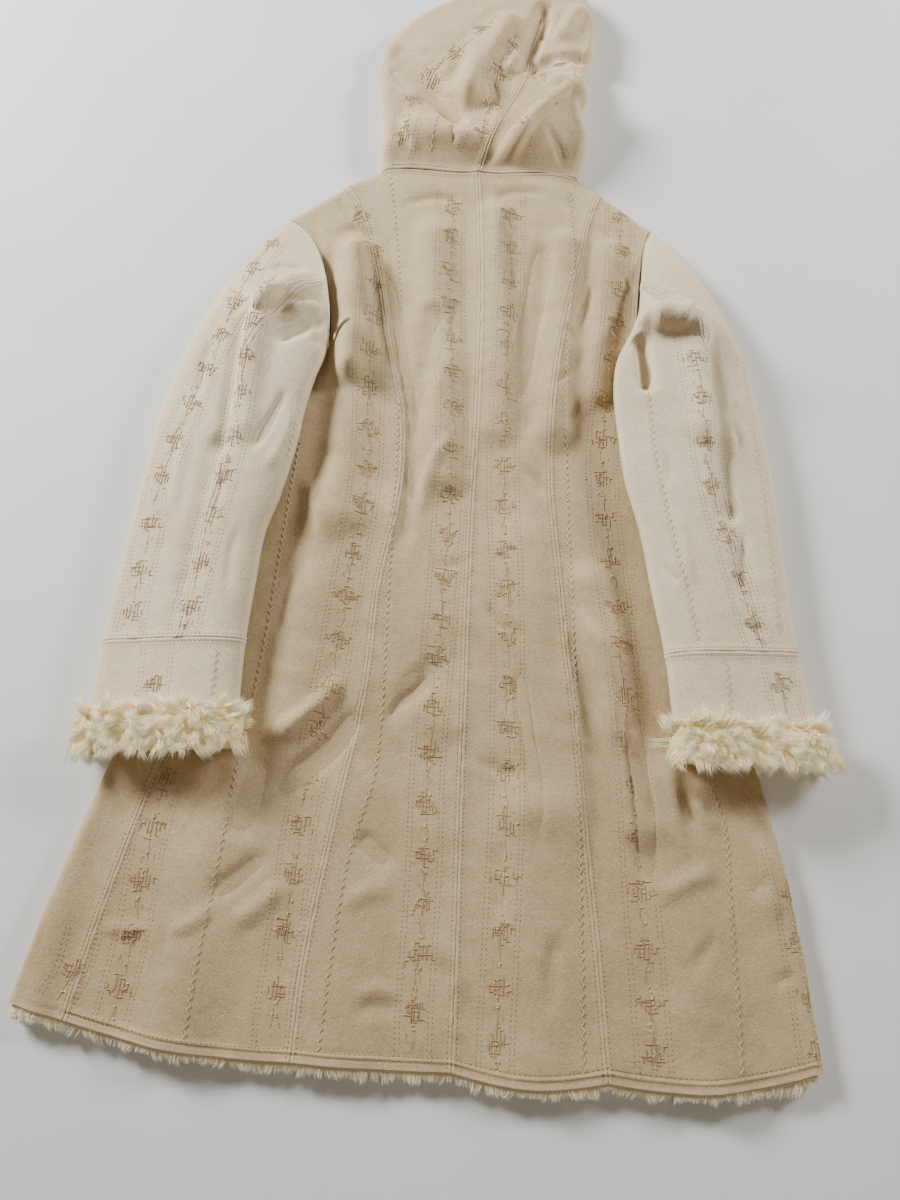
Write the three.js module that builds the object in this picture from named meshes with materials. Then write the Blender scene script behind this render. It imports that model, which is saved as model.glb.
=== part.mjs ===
// Hooded shearling coat, laid out face down: the back, the sleeves and the hood lie uppermost.
// Millimetres, +Z up. The fronts rest on z = 0. +Y runs from the hem toward the hood, +X to the right.
import * as THREE from 'three';

// Driving dimensions
const WALL = 6; // bonded cloth with its clipped pile, one layer
const LAYER_GAP = 1.3; // air between the front and the back where they lie on each other
const SEAM_GAP = 0.3; // space left between two pieces at a seam
const FOLD_RUN = 9; // how far in from a fold edge the cloth needs to lie flat
const LIE = 2 * WALL + LAYER_GAP; // height of the back's face where the coat lies flattest
const PLAN_MID = { x: -13.1, y: 425 }; // middle of the whole coat in plan
const BODY_TOP_LEVEL = 10; // level of the neck and shoulder line; level 0 is the hem
const UNDERARM_LEVEL = 7; // level at which the side seams end
const CORNER_LEVEL = 7.5; // level at which the armholes turn upward
const ARCH_POWER = 2.4; // fullness of a sleeve's section above
const BELLY_POWER = 4; // and beneath, where it lies nearly flat
const SLEEVE_OVER_BODY = { ramp: 22, lead: 4 }; // how the sleeve's underside climbs on to the body
const UNDERARM_BLEND = { from: 548, to: 584 }; // where the sleeve's underside comes back down
const HOOD_LIE = 29; // usual height of the hood's face
const HOOD_NECK_HEIGHT = 16; // its height at the neck seam
const HOOD_LEAST = 19; // its height in the deepest hollow, clear of the fur inside
const HEM_PILE = { reach: 13, tip: 2.5 }; // pile that shows past the hem, and its thickness there
const CUFF_FUR = { swell: 8, inner: 9 }; // how far the fur stands out from the cuff, and into it

const CLOTH_COLOURS = { body: '#c3ab84', side: '#bda57e', sleeve: '#c6b18c', hood: '#c2ac88' };
const FUR_COLOUR = '#e6d3a2';

// Seam lines of the body in plan. Each row: at (level up the coat), x, y.
const CENTRE_BACK = [
  { at: 0, x: 1, y: -161 }, { at: 1, x: 5, y: -60 }, { at: 2, x: 9, y: 60 },
  { at: 3, x: 13, y: 160 }, { at: 4, x: 17, y: 260 }, { at: 5, x: 22, y: 360 },
  { at: 6, x: 28, y: 450 }, { at: 7, x: 32, y: 535 }, { at: 8, x: 33, y: 610 },
  { at: 9, x: 33, y: 680 }, { at: 10, x: 31, y: 746 },
];
const PRINCESS_LEFT = [
  { at: 0, x: -133, y: -153 }, { at: 1, x: -123, y: -60 }, { at: 2, x: -100, y: 60 },
  { at: 3, x: -80, y: 162 }, { at: 4, x: -70, y: 260 }, { at: 5, x: -51, y: 358 },
  { at: 6, x: -49, y: 445 }, { at: 7, x: -65, y: 535 }, { at: 8, x: -78, y: 618 },
  { at: 9, x: -96, y: 690 }, { at: 10, x: -116, y: 732 },
];
const PRINCESS_RIGHT = [
  { at: 0, x: 131, y: -169 }, { at: 1, x: 126, y: -60 }, { at: 2, x: 118, y: 60 },
  { at: 3, x: 112, y: 155 }, { at: 4, x: 106, y: 258 }, { at: 5, x: 100, y: 360 },
  { at: 6, x: 104, y: 450 }, { at: 7, x: 118, y: 540 }, { at: 8, x: 136, y: 615 },
  { at: 9, x: 153, y: 684 }, { at: 10, x: 167, y: 722 },
];
const SIDE_SEAM_LEFT = [
  { at: 0, x: -326, y: -121 }, { at: 1, x: -309, y: -52 }, { at: 2, x: -277, y: 58 },
  { at: 3, x: -248, y: 150 }, { at: 4, x: -226, y: 250 }, { at: 5, x: -208, y: 350 },
  { at: 6, x: -204, y: 430 }, { at: 7, x: -203, y: 503 },
];
const FOLD_EDGE_LEFT = [
  { at: 0, x: -377, y: -109 }, { at: 1, x: -359, y: -50 }, { at: 2, x: -324, y: 60 },
  { at: 3, x: -291, y: 152 }, { at: 4, x: -256, y: 252 }, { at: 5, x: -232, y: 350 },
  { at: 6, x: -224, y: 430 }, { at: 7, x: -221, y: 503 },
];
const FOLD_EDGE_RIGHT = [
  { at: 0, x: 312, y: -163 }, { at: 1, x: 304, y: -60 }, { at: 2, x: 285, y: 62 },
  { at: 3, x: 268, y: 155 }, { at: 4, x: 255, y: 255 }, { at: 5, x: 247, y: 350 },
  { at: 6, x: 246, y: 430 }, { at: 7, x: 252, y: 501 },
];
const SIDE_SEAM_RIGHT = [
  { at: 0, x: 262, y: -164 }, { at: 2, x: 246, y: 61 }, { at: 4, x: 226, y: 255 },
  { at: 7, x: 230, y: 501 },
];
const CENTRE_FRONT = [
  { at: 0, x: -28, y: -150 }, { at: 3, x: -12, y: 158 }, { at: 6, x: 8, y: 440 },
  { at: 8, x: 20, y: 590 }, { at: 9, x: 26, y: 655 }, { at: 10, x: 32, y: 712 },
];
// Armholes, from the underarm corner (at 0) to the shoulder tip (at 1).
const ARMHOLE_LEFT = [
  { at: 0, x: -126, y: 522 }, { at: 0.2, x: -125, y: 553 }, { at: 0.4, x: -129, y: 590 },
  { at: 0.6, x: -137, y: 628 }, { at: 0.8, x: -152, y: 662 }, { at: 1, x: -177, y: 689 },
];
const ARMHOLE_RIGHT = [
  { at: 0, x: 188, y: 520 }, { at: 0.2, x: 197, y: 552 }, { at: 0.4, x: 201, y: 584 },
  { at: 0.6, x: 205, y: 615 }, { at: 0.8, x: 210, y: 647 }, { at: 1, x: 219, y: 674 },
];
// How far the hem and the top line of each back panel bow away from a straight line.
const BOW = {
  centreLeft: { hem: -1, top: 14 }, centreRight: { hem: -8, top: 13 },
  sideLeft: { hem: -7, top: 0 }, sideRight: { hem: -10, top: 0 },
};

// Largest folds of the back. A row runs from (x0, y0) to (x1, y1), stands rise above the cloth
// about it (below, when negative), and reaches left and right of its line by those widths.
const BODY_FOLDS = [
  { x0: -105, y0: 640, x1: -104, y1: 500, rise: 18, left: 26, right: 30 },
  { x0: -104, y0: 525, x1: -112, y1: 340, rise: 9, left: 32, right: 46 },
  { x0: -112, y0: 360, x1: -150, y1: 130, rise: 7, left: 46, right: 50 },
  { x0: -22, y0: 660, x1: -10, y1: 380, rise: 11, left: 30, right: 44 },
  { x0: -20, y0: 560, x1: -32, y1: 455, rise: -5, left: 16, right: 20 },
  { x0: 52, y0: 690, x1: 52, y1: 430, rise: 10, left: 34, right: 26 },
  { x0: 126, y0: 650, x1: 104, y1: 430, rise: 12, left: 28, right: 34 },
  { x0: 172, y0: 640, x1: 150, y1: 470, rise: 9, left: 26, right: 26 },
  { x0: -52, y0: 735, x1: 110, y1: 735, rise: 3, left: 40, right: 36 },
  { x0: -70, y0: 330, x1: -14, y1: 140, rise: 6, left: 46, right: 60 },
  { x0: -21, y0: 178, x1: -68, y1: 126, rise: -4, left: 18, right: 20 },
  { x0: 78, y0: 400, x1: 80, y1: 60, rise: 6, left: 46, right: 44 },
  { x0: 134, y0: 262, x1: 172, y1: 40, rise: 9, left: 30, right: 40 },
  { x0: -205, y0: 70, x1: -240, y1: -150, rise: 8, left: 52, right: 60 },
  { x0: -90, y0: 60, x1: -100, y1: -165, rise: 5, left: 50, right: 55 },
  { x0: 62, y0: 40, x1: 70, y1: -180, rise: 6, left: 50, right: 55 },
  { x0: 205, y0: 70, x1: 215, y1: -180, rise: 8, left: 50, right: 50 },
  { x0: -330, y0: 40, x1: -352, y1: -110, rise: 5, left: 22, right: 26 },
];
// Inner edges of the sleeves in plan, where the body under them must lie flat.
const FLAT_UNDER_SLEEVES = { from: 86, to: 520, blend: 28, lap: 6 };

// Sleeves. A row per ring from the armhole: outer and inner ends of the ring in plan, its height,
// and how far across from the outer end the back seam lies.
const SLEEVE_LEFT = [
  { at: 0, ox: -177, oy: 689, ix: -126, iy: 522, height: 15, seam: 0.55 },
  { at: 1, ox: -205, oy: 650, ix: -129, iy: 503, height: 27, seam: 0.52 },
  { at: 2, ox: -238, oy: 597, ix: -137, iy: 480, height: 33, seam: 0.5 },
  { at: 3, ox: -266, oy: 540, ix: -144, iy: 452, height: 34, seam: 0.52 },
  { at: 4, ox: -293, oy: 455, ix: -152, iy: 405, height: 33, seam: 0.57 },
  { at: 5, ox: -304, oy: 385, ix: -165, iy: 352, height: 32, seam: 0.58 },
  { at: 6, ox: -313, oy: 325, ix: -178, iy: 312, height: 31, seam: 0.58 },
  { at: 7, ox: -320, oy: 268, ix: -184, iy: 262, height: 31, seam: 0.58 },
  { at: 8, ox: -328, oy: 206, ix: -190, iy: 204, height: 30, seam: 0.57 },
  { at: 9, ox: -334, oy: 143, ix: -192, iy: 144, height: 29, seam: 0.57 },
  { at: 10, ox: -341, oy: 100, ix: -193, iy: 101, height: 28, seam: 0.57 },
];
const SLEEVE_RIGHT = [
  { at: 0, ox: 219, oy: 674, ix: 188, iy: 520, height: 15, seam: 0.56 },
  { at: 1, ox: 243, oy: 640, ix: 175, iy: 508, height: 27, seam: 0.42 },
  { at: 2, ox: 270, oy: 598, ix: 168, iy: 488, height: 33, seam: 0.33 },
  { at: 3, ox: 296, oy: 535, ix: 165, iy: 458, height: 34, seam: 0.3 },
  { at: 4, ox: 311, oy: 465, ix: 167, iy: 418, height: 33, seam: 0.36 },
  { at: 5, ox: 319, oy: 390, ix: 171, iy: 368, height: 32, seam: 0.4 },
  { at: 6, ox: 322, oy: 322, ix: 183, iy: 312, height: 31, seam: 0.39 },
  { at: 7, ox: 323, oy: 260, ix: 190, iy: 255, height: 31, seam: 0.34 },
  { at: 8, ox: 327, oy: 194, ix: 199, iy: 190, height: 30, seam: 0.3 },
  { at: 9, ox: 338, oy: 127, ix: 202, iy: 131, height: 29, seam: 0.29 },
  { at: 10, ox: 345, oy: 84, ix: 204, iy: 88, height: 28, seam: 0.28 },
];
const CUFF_LEVEL = 8;
const FUR_LEVEL = 9;
// Folds of the sleeves, same columns as the body's.
const SLEEVE_FOLDS_LEFT = [
  { x0: -138, y0: 588, x1: -196, y1: 560, rise: 12, left: 30, right: 15 },
  { x0: -190, y0: 560, x1: -204, y1: 420, rise: 6, left: 32, right: 22 },
  { x0: -212, y0: 545, x1: -222, y1: 400, rise: -6, left: 14, right: 16 },
  { x0: -132, y0: 545, x1: -168, y1: 520, rise: -9, left: 12, right: 12 },
  { x0: -232, y0: 400, x1: -252, y1: 230, rise: -4, left: 14, right: 18 },
];
const SLEEVE_FOLDS_RIGHT = [
  { x0: 203, y0: 540, x1: 250, y1: 532, rise: 15, left: 14, right: 34 },
  { x0: 240, y0: 530, x1: 246, y1: 420, rise: 6, left: 18, right: 34 },
  { x0: 196, y0: 512, x1: 197, y1: 465, rise: -12, left: 12, right: 14 },
  { x0: 262, y0: 520, x1: 268, y1: 330, rise: -6, left: 14, right: 16 },
  { x0: 272, y0: 330, x1: 288, y1: 215, rise: -3, left: 16, right: 16 },
];

// Hood. A row per spoke, fanning from the neck (at 0) to the crown (at 5): where the spoke leaves
// the centre seam (cx, cy), where it turns under at the outline (lx, ly) and where it ends at the
// face opening beneath (qx, qy).
const HOOD_LEFT = [
  { at: 0, cx: 32, cy: 746, lx: -77, ly: 752, qx: 22, qy: 748 },
  { at: 1, cx: 44, cy: 778, lx: -76, ly: 804, qx: -14, qy: 800 },
  { at: 2, cx: 60, cy: 815, lx: -79, ly: 858, qx: -34, qy: 852 },
  { at: 3, cx: 84, cy: 862, lx: -80, ly: 907, qx: -46, qy: 896 },
  { at: 4, cx: 97, cy: 910, lx: -34, ly: 969, qx: -14, qy: 946 },
  { at: 4.5, cx: 103, cy: 934, lx: 44, ly: 1013, qx: 48, qy: 984 },
  { at: 5, cx: 108, cy: 955, lx: 111, ly: 1037, qx: 110, qy: 1003 },
];
const HOOD_RIGHT = [
  { at: 0, cx: 32, cy: 746, lx: 143, ly: 741, qx: 44, qy: 748 },
  { at: 1, cx: 44, cy: 778, lx: 157, ly: 789, qx: 88, qy: 790 },
  { at: 2, cx: 60, cy: 815, lx: 147, ly: 826, qx: 102, qy: 828 },
  { at: 3, cx: 84, cy: 862, lx: 158, ly: 878, qx: 116, qy: 876 },
  { at: 4, cx: 97, cy: 910, lx: 171, ly: 938, qx: 132, qy: 928 },
  { at: 4.5, cx: 103, cy: 934, lx: 161, ly: 1001, qx: 132, qy: 976 },
  { at: 5, cx: 108, cy: 955, lx: 111, ly: 1037, qx: 110, qy: 1003 },
];
const HOOD_FOLDS = [
  { x0: 56, y0: 756, x1: 140, y1: 842, rise: 16, left: 34, right: 12 },
  { x0: -66, y0: 898, x1: -24, y1: 850, rise: -13, left: 20, right: 26 },
  { x0: -24, y0: 850, x1: 8, y1: 812, rise: -12, left: 18, right: 20 },
  { x0: 20, y0: 846, x1: 66, y1: 940, rise: 14, left: 34, right: 26 },
  { x0: 88, y0: 884, x1: 112, y1: 966, rise: -12, left: 14, right: 18 },
  { x0: 100, y0: 884, x1: 150, y1: 896, rise: -11, left: 12, right: 14 },
  { x0: -40, y0: 800, x1: 16, y1: 782, rise: 7, left: 24, right: 26 },
  { x0: 130, y0: 930, x1: 150, y1: 965, rise: 7, left: 18, right: 16 },
  { x0: 122, y0: 862, x1: 140, y1: 866, rise: 6, left: 16, right: 14 },
];
const HOOD_PEEK = { x: -30, y: 955, flat: 50, reach: 85, rise: 8 }; // held up where its fur shows
// Fur along the face opening. A row per station: plan point, width and height of the strip.
const HOOD_FUR = [
  { at: 0, x: 27, y: 763, width: 10, height: 8 }, { at: 1, x: -2, y: 803, width: 15, height: 11 },
  { at: 2, x: -20, y: 852, width: 15, height: 10.5 }, { at: 3, x: -33, y: 892, width: 14, height: 7.4 },
  { at: 4, x: -44, y: 930, width: 15, height: 7.4 }, { at: 5, x: -37, y: 962, width: 16, height: 7.4 },
  { at: 6, x: -14, y: 970, width: 14, height: 7.4 }, { at: 7, x: 10, y: 959, width: 13, height: 7 },
  { at: 8, x: 50, y: 958, width: 13, height: 8 }, { at: 9, x: 104, y: 985, width: 14, height: 11 },
  { at: 10, x: 118, y: 928, width: 14, height: 11 }, { at: 11, x: 103, y: 877, width: 14, height: 11 },
  { at: 12, x: 89, y: 831, width: 15, height: 12 }, { at: 13, x: 74, y: 795, width: 14, height: 11 },
  { at: 14, x: 47, y: 765, width: 10, height: 8 },
];

// Cubic through the rows of a table, for one of its columns.
function along(rows, at, column) {
  const last = rows.length - 1;
  let k = 0;
  while (k < last - 1 && at > rows[k + 1].at) k += 1;
  const a = rows[k];
  const b = rows[k + 1];
  const before = rows[Math.max(k - 1, 0)];
  const after = rows[Math.min(k + 2, last)];
  const span = b.at - a.at;
  const t = (at - a.at) / span;
  const slopeA = ((b[column] - before[column]) / (b.at - before.at)) * span;
  const slopeB = ((after[column] - a[column]) / (after.at - a.at)) * span;
  const t2 = t * t;
  const t3 = t2 * t;
  return (2 * t3 - 3 * t2 + 1) * a[column] + (t3 - 2 * t2 + t) * slopeA
    + (3 * t2 - 2 * t3) * b[column] + (t3 - t2) * slopeB;
}

const spot = (rows, at) => ({ x: along(rows, at, 'x'), y: along(rows, at, 'y') });
const mix = (a, b, t) => a + (b - a) * t;
const mixSpot = (a, b, t) => ({ x: mix(a.x, b.x, t), y: mix(a.y, b.y, t) });

function ease(low, high, value) {
  const t = Math.min(1, Math.max(0, (value - low) / (high - low)));
  return t * t * (3 - 2 * t);
}

// A point moved toward another by a number of millimetres.
function toward(from, to, distance) {
  const length = Math.hypot(to.x - from.x, to.y - from.y);
  return mixSpot(from, to, distance / length);
}

const FADE_LENGTH = 0.5; // how far a fold runs on past its ends, in its own widths

// Sum of a table's folds at a plan point. Each fold is a soft ridge that fades past its ends.
function foldLift(folds, x, y) {
  let lift = 0;
  for (const fold of folds) {
    const dx = fold.x1 - fold.x0;
    const dy = fold.y1 - fold.y0;
    const length = Math.hypot(dx, dy);
    const down = ((x - fold.x0) * dx + (y - fold.y0) * dy) / length;
    const across = ((x - fold.x0) * dy - (y - fold.y0) * dx) / length;
    // A fold that runs toward the hem has the coat's left on its positive side.
    const reach = across > 0 ? fold.left : fold.right;
    const fade = FADE_LENGTH * (fold.left + fold.right);
    const past = Math.max(-down, down - length, 0) / fade;
    const away = Math.hypot(across / reach, past);
    if (away < 1) lift += fold.rise * Math.cos((away * Math.PI) / 2) ** 2;
  }
  return lift;
}

// Folds may rise freely, and sink only by the air that is left between the layers.
const SINK = 1;

function softLift(lift) {
  return (lift + Math.sqrt(lift * lift + 4 * SINK * SINK)) / 2 - SINK;
}

function edgeAtHeight(rows, y) {
  let k = 0;
  while (k < rows.length - 2 && y > rows[k + 1].y) k += 1;
  const t = Math.min(1, Math.max(0, (y - rows[k].y) / (rows[k + 1].y - rows[k].y)));
  return mix(rows[k].x, rows[k + 1].x, t);
}

const innerEdges = (rows) => rows.slice(1).map((row) => ({ x: row.ix, y: row.iy })).reverse();
const INNER_LEFT = innerEdges(SLEEVE_LEFT);
const INNER_RIGHT = innerEdges(SLEEVE_RIGHT);

// 1 where the back may be shaped by its folds, 0 where a sleeve lies on it.
function freeOfSleeves(x, y) {
  const { from, to, blend, lap } = FLAT_UNDER_SLEEVES;
  const within = ease(from - blend, from, y) * (1 - ease(to, to + blend, y));
  const left = ease(-lap, blend - lap, edgeAtHeight(INNER_LEFT, y) - x);
  const right = ease(-lap, blend - lap, x - edgeAtHeight(INNER_RIGHT, y));
  return 1 - within * Math.max(left, right);
}

function backHeight(x, y) {
  return LIE + softLift(foldLift(BODY_FOLDS, x, y)) * freeOfSleeves(x, y);
}

// Height of what a sleeve rests on: the floor, or the body when over it.
function underSleeve(side, x, y) {
  const edge = side < 0 ? edgeAtHeight(FOLD_EDGE_LEFT, y) : edgeAtHeight(FOLD_EDGE_RIGHT, y);
  const inboard = side < 0 ? x - edge : edge - x;
  const { ramp, lead } = SLEEVE_OVER_BODY;
  const over = ease(-ramp - lead, -lead, inboard);
  const low = 1 - ease(UNDERARM_BLEND.from, UNDERARM_BLEND.to, y);
  return (LIE + SEAM_GAP) * over * low;
}

// Closed shell from two grids of points, the face and the inside of the cloth. A cell is left out
// where present(row, column) is false, and the rim follows whatever edge is left.
function shell(face, inside, present = () => true, around = false) {
  const rows = face.length;
  const columns = face[0].length;
  const positions = [];
  for (const grid of [face, inside]) {
    for (const row of grid) {
      for (const p of row) positions.push(p.x - PLAN_MID.x, p.y - PLAN_MID.y, p.z);
    }
  }
  const outer = (i, j) => i * columns + (j % columns);
  const inner = (i, j) => rows * columns + outer(i, j);
  const columnCells = around ? columns : columns - 1;
  const has = (i, j) => {
    const jj = around ? (j + columns) % columns : j;
    return i >= 0 && i < rows - 1 && jj >= 0 && jj < columnCells && present(i, jj);
  };
  const triangles = [];
  const quad = (a, b, c, d) => triangles.push(a, b, c, a, c, d);
  for (let i = 0; i < rows - 1; i += 1) {
    for (let j = 0; j < columnCells; j += 1) {
      if (!has(i, j)) continue;
      quad(outer(i, j), outer(i, j + 1), outer(i + 1, j + 1), outer(i + 1, j));
      quad(inner(i, j), inner(i + 1, j), inner(i + 1, j + 1), inner(i, j + 1));
      if (!has(i - 1, j)) quad(outer(i, j), inner(i, j), inner(i, j + 1), outer(i, j + 1));
      if (!has(i + 1, j)) {
        quad(outer(i + 1, j + 1), inner(i + 1, j + 1), inner(i + 1, j), outer(i + 1, j));
      }
      if (!has(i, j - 1)) quad(outer(i + 1, j), inner(i + 1, j), inner(i, j), outer(i, j));
      if (!has(i, j + 1)) {
        quad(outer(i, j + 1), inner(i, j + 1), inner(i + 1, j + 1), outer(i + 1, j + 1));
      }
    }
  }
  return meshFrom(positions, triangles);
}

function meshFrom(positions, triangles) {
  const used = new Map();
  const kept = [];
  const index = triangles.map((old) => {
    if (!used.has(old)) {
      used.set(old, kept.length / 3);
      kept.push(positions[3 * old], positions[3 * old + 1], positions[3 * old + 2]);
    }
    return used.get(old);
  });
  // Turned outward when its signed volume comes out negative.
  let volume = 0;
  for (let k = 0; k < index.length; k += 3) {
    const [a, b, c] = [0, 1, 2].map((n) => new THREE.Vector3().fromArray(kept, 3 * index[k + n]));
    volume += a.dot(b.cross(c));
  }
  if (volume < 0) {
    for (let k = 0; k < index.length; k += 3) {
      [index[k + 1], index[k + 2]] = [index[k + 2], index[k + 1]];
    }
  }
  const geometry = new THREE.BufferGeometry();
  geometry.setAttribute('position', new THREE.Float32BufferAttribute(kept, 3));
  geometry.setIndex(index);
  geometry.computeVertexNormals();
  return geometry;
}

function piece(name, geometry, colour, roughness = 0.95) {
  const material = new THREE.MeshStandardMaterial({ color: colour, roughness, metalness: 0 });
  const mesh = new THREE.Mesh(geometry, material);
  mesh.name = name;
  return mesh;
}

const SLOPE_STEP = 2; // how far either side the slope of the back is measured
const STEEPEST_DROP = 1.5; // the wall measured straight down, in walls, is no more than this
const LEAST_AIR = 0.25; // air kept between the back and the front

// A wall point pair on the back: its face, and the inside straight below.
function backPair(p, height = backHeight(p.x, p.y)) {
  const rise = (dx, dy) => backHeight(p.x + dx, p.y + dy) - backHeight(p.x - dx, p.y - dy);
  const slopeX = rise(SLOPE_STEP, 0) / (2 * SLOPE_STEP);
  const slopeY = rise(0, SLOPE_STEP) / (2 * SLOPE_STEP);
  const drop = WALL * Math.min(STEEPEST_DROP, Math.hypot(1, slopeX, slopeY));
  const inside = Math.max(height - drop, WALL + LEAST_AIR);
  return [{ ...p, z: height }, { ...p, z: inside }];
}

// Wall points of a fold edge at plan point edge, curling from above (turn 90) to below (turn -90).
function foldPair(edge, inward, height, turn, run = FOLD_RUN) {
  const angle = (turn * Math.PI) / 180;
  const centre = toward(edge, inward, run);
  const place = (out, half) => {
    const p = toward(centre, edge, out * Math.cos(angle));
    return { ...p, z: height / 2 + half * Math.sin(angle) };
  };
  return [place(run, height / 2), place(run - WALL, height / 2 - WALL)];
}

const armholeLevel = (t) => mix(CORNER_LEVEL, BODY_TOP_LEVEL, t);
const ACROSS_SLEEVE = [0, 0.16, 0.36, 0.66, 1]; // columns of a sleeve from its outer end to the seam
const ACROSS_INNER = [0.3, 0.6, 0.85, 1]; // and from the seam to its inner end

function ringFractions(seam) {
  const upper = ACROSS_SLEEVE.map((f) => f * seam);
  const under = ACROSS_INNER.map((f) => mix(seam, 1, f));
  return [...upper, ...under];
}

// Columns of a sleeve's underside, from its inner end: some where it lies on the body, then the
// climb down over the body's fold edge, then some where it lies on the floor.
const BELOW_INNER = [0.85, 0.55, 0.25];
const BELOW_OUTER = [0.6, 0.25];
const CLIMB_STEPS = 160; // places tried across the sleeve
const USUAL_CLIMB = { from: 0.5, to: 0.62, least: 0.08 }; // fractions across, where none is found

function belowFractions(side, station, grow) {
  let floorEnds = USUAL_CLIMB.from;
  let bodyStarts = USUAL_CLIMB.to;
  let found = false;
  for (let k = CLIMB_STEPS; k > 0 && !found; k -= 1) {
    const across = k / CLIMB_STEPS;
    const p = sleevePlan(side, station, across, false, grow);
    const low = underSleeve(side, p.x, p.y);
    if (low > LIE) bodyStarts = across;
    if (low < SEAM_GAP && bodyStarts < 1) {
      floorEnds = Math.min(across, bodyStarts - USUAL_CLIMB.least);
      found = true;
    }
  }
  const over = BELOW_INNER.map((f) => mix(bodyStarts, 1, f));
  const down = BELOW_OUTER.map((f) => f * floorEnds);
  return [...over, bodyStarts, (bodyStarts + floorEnds) / 2, floorEnds, ...down];
}

function bodyLevels(seam) {
  const below = [0, 0.3, 0.7, 1.2, 1.7, 2.2, 2.7, 3.2, 3.7, 4.2, 4.7, 5.2, 5.6, 6, 6.4, 6.7, 7, 7.25];
  const upward = ringFractions(seam).map((c) => armholeLevel(1 - c)).reverse();
  return [...below, ...upward];
}

const LEVELS_LEFT = bodyLevels(SLEEVE_LEFT[0].seam);
const LEVELS_RIGHT = bodyLevels(SLEEVE_RIGHT[0].seam);
const underarmRow = (levels) => levels.indexOf(UNDERARM_LEVEL);

const UNDERARM_SCOOP = 12; // depth of the curve below the arm

// Outer end of the body at a level past the underarm: first across below the arm, then up the
// armhole to the shoulder tip.
function armholeSpot(side, level) {
  const hole = side < 0 ? ARMHOLE_LEFT : ARMHOLE_RIGHT;
  const corner = spot(hole, 0);
  if (level >= CORNER_LEVEL) {
    return spot(hole, (level - CORNER_LEVEL) / (BODY_TOP_LEVEL - CORNER_LEVEL));
  }
  const underarm = spot(side < 0 ? SIDE_SEAM_LEFT : FOLD_EDGE_RIGHT, UNDERARM_LEVEL);
  const t = (level - UNDERARM_LEVEL) / (CORNER_LEVEL - UNDERARM_LEVEL);
  const middle = mixSpot(underarm, corner, t);
  const scoop = UNDERARM_SCOOP * Math.sin(Math.PI * t) * ease(0, 1, 1 - t);
  return { x: middle.x, y: middle.y - scoop };
}

const HEM_BOW_ENDS = 1.5; // level where the hem's bow has died out
const TOP_BOW_STARTS = 9; // level where the top's bow begins
// Bows of height 1 at u across: one even, one fullest two thirds of the way out.
const evenBow = (u) => 4 * u * (1 - u);
const outwardBow = (u) => 6.75 * u * u * (1 - u);

// A point of a panel at u across and a given level, moved by the bow of its hem or its top.
function bowed(p, bow, u, level) {
  const atHem = 1 - ease(0, HEM_BOW_ENDS, level);
  const atTop = ease(TOP_BOW_STARTS, BODY_TOP_LEVEL, level);
  return { x: p.x, y: p.y + evenBow(u) * bow.hem * atHem + outwardBow(u) * bow.top * atTop };
}

// The shoulder line turns down to meet the front; the neck between the shoulders does not.
const NECK_CORNERS = { left: -75, right: 142 };
const CORNER_BLEND = { from: -4, to: 12 }; // about each corner, outward
const SHOULDER_HEIGHT = { face: LIE / 2 + 0.3, inside: LIE / 2 + 0.2 };
function shoulderTurn(p) {
  const past = Math.max(NECK_CORNERS.left - p.x, p.x - NECK_CORNERS.right);
  return ease(CORNER_BLEND.from, CORNER_BLEND.to, past);
}

// Back panel between two seam lines. Each seam column is drawn in by half a seam gap.
function backPanel(levels, startOf, endOf, across, bow) {
  const face = [];
  const inside = [];
  levels.forEach((level) => {
    const start = startOf(level);
    const end = endOf(level);
    const from = toward(start, end, SEAM_GAP / 2);
    const to = toward(end, start, SEAM_GAP / 2);
    const pairs = across.map((u) => backPair(bowed(mixSpot(from, to, u), bow, u, level)));
    face.push(pairs.map((pair) => pair[0]));
    inside.push(pairs.map((pair) => pair[1]));
  });
  // The last row turns down at the shoulders.
  const last = levels.length - 1;
  across.forEach((u, j) => {
    const turned = shoulderTurn(face[last][j]);
    const back = toward(face[last][j], face[last - 1][j], WALL * turned);
    face[last][j].z = mix(face[last][j].z, SHOULDER_HEIGHT.face, turned);
    inside[last][j] = { ...back, z: mix(inside[last][j].z, SHOULDER_HEIGHT.inside, turned) };
  });
  return { face, inside };
}

const CENTRE_ACROSS = [0, 0.18, 0.36, 0.54, 0.72, 0.86, 1];

function backCentre(side) {
  const levels = side < 0 ? LEVELS_LEFT : LEVELS_RIGHT;
  const princess = side < 0 ? PRINCESS_LEFT : PRINCESS_RIGHT;
  const bow = side < 0 ? BOW.centreLeft : BOW.centreRight;
  const start = (level) => spot(CENTRE_BACK, level);
  const grid = backPanel(levels, start, (level) => spot(princess, level), CENTRE_ACROSS, bow);
  return shell(grid.face, grid.inside);
}

const SIDE_ACROSS = [0, 0.12, 0.24, 0.37, 0.5, 0.66, 0.83, 1];

function backSideLeft() {
  const levels = LEVELS_LEFT;
  const outer = (level) => {
    if (level <= UNDERARM_LEVEL) return spot(SIDE_SEAM_LEFT, level);
    return armholeSpot(-1, level);
  };
  const grid = backPanel(levels, (l) => spot(PRINCESS_LEFT, l), outer, SIDE_ACROSS, BOW.sideLeft);
  return shell(grid.face, grid.inside);
}

const TURNS = [55, 20, -20, -55, -90];

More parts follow.
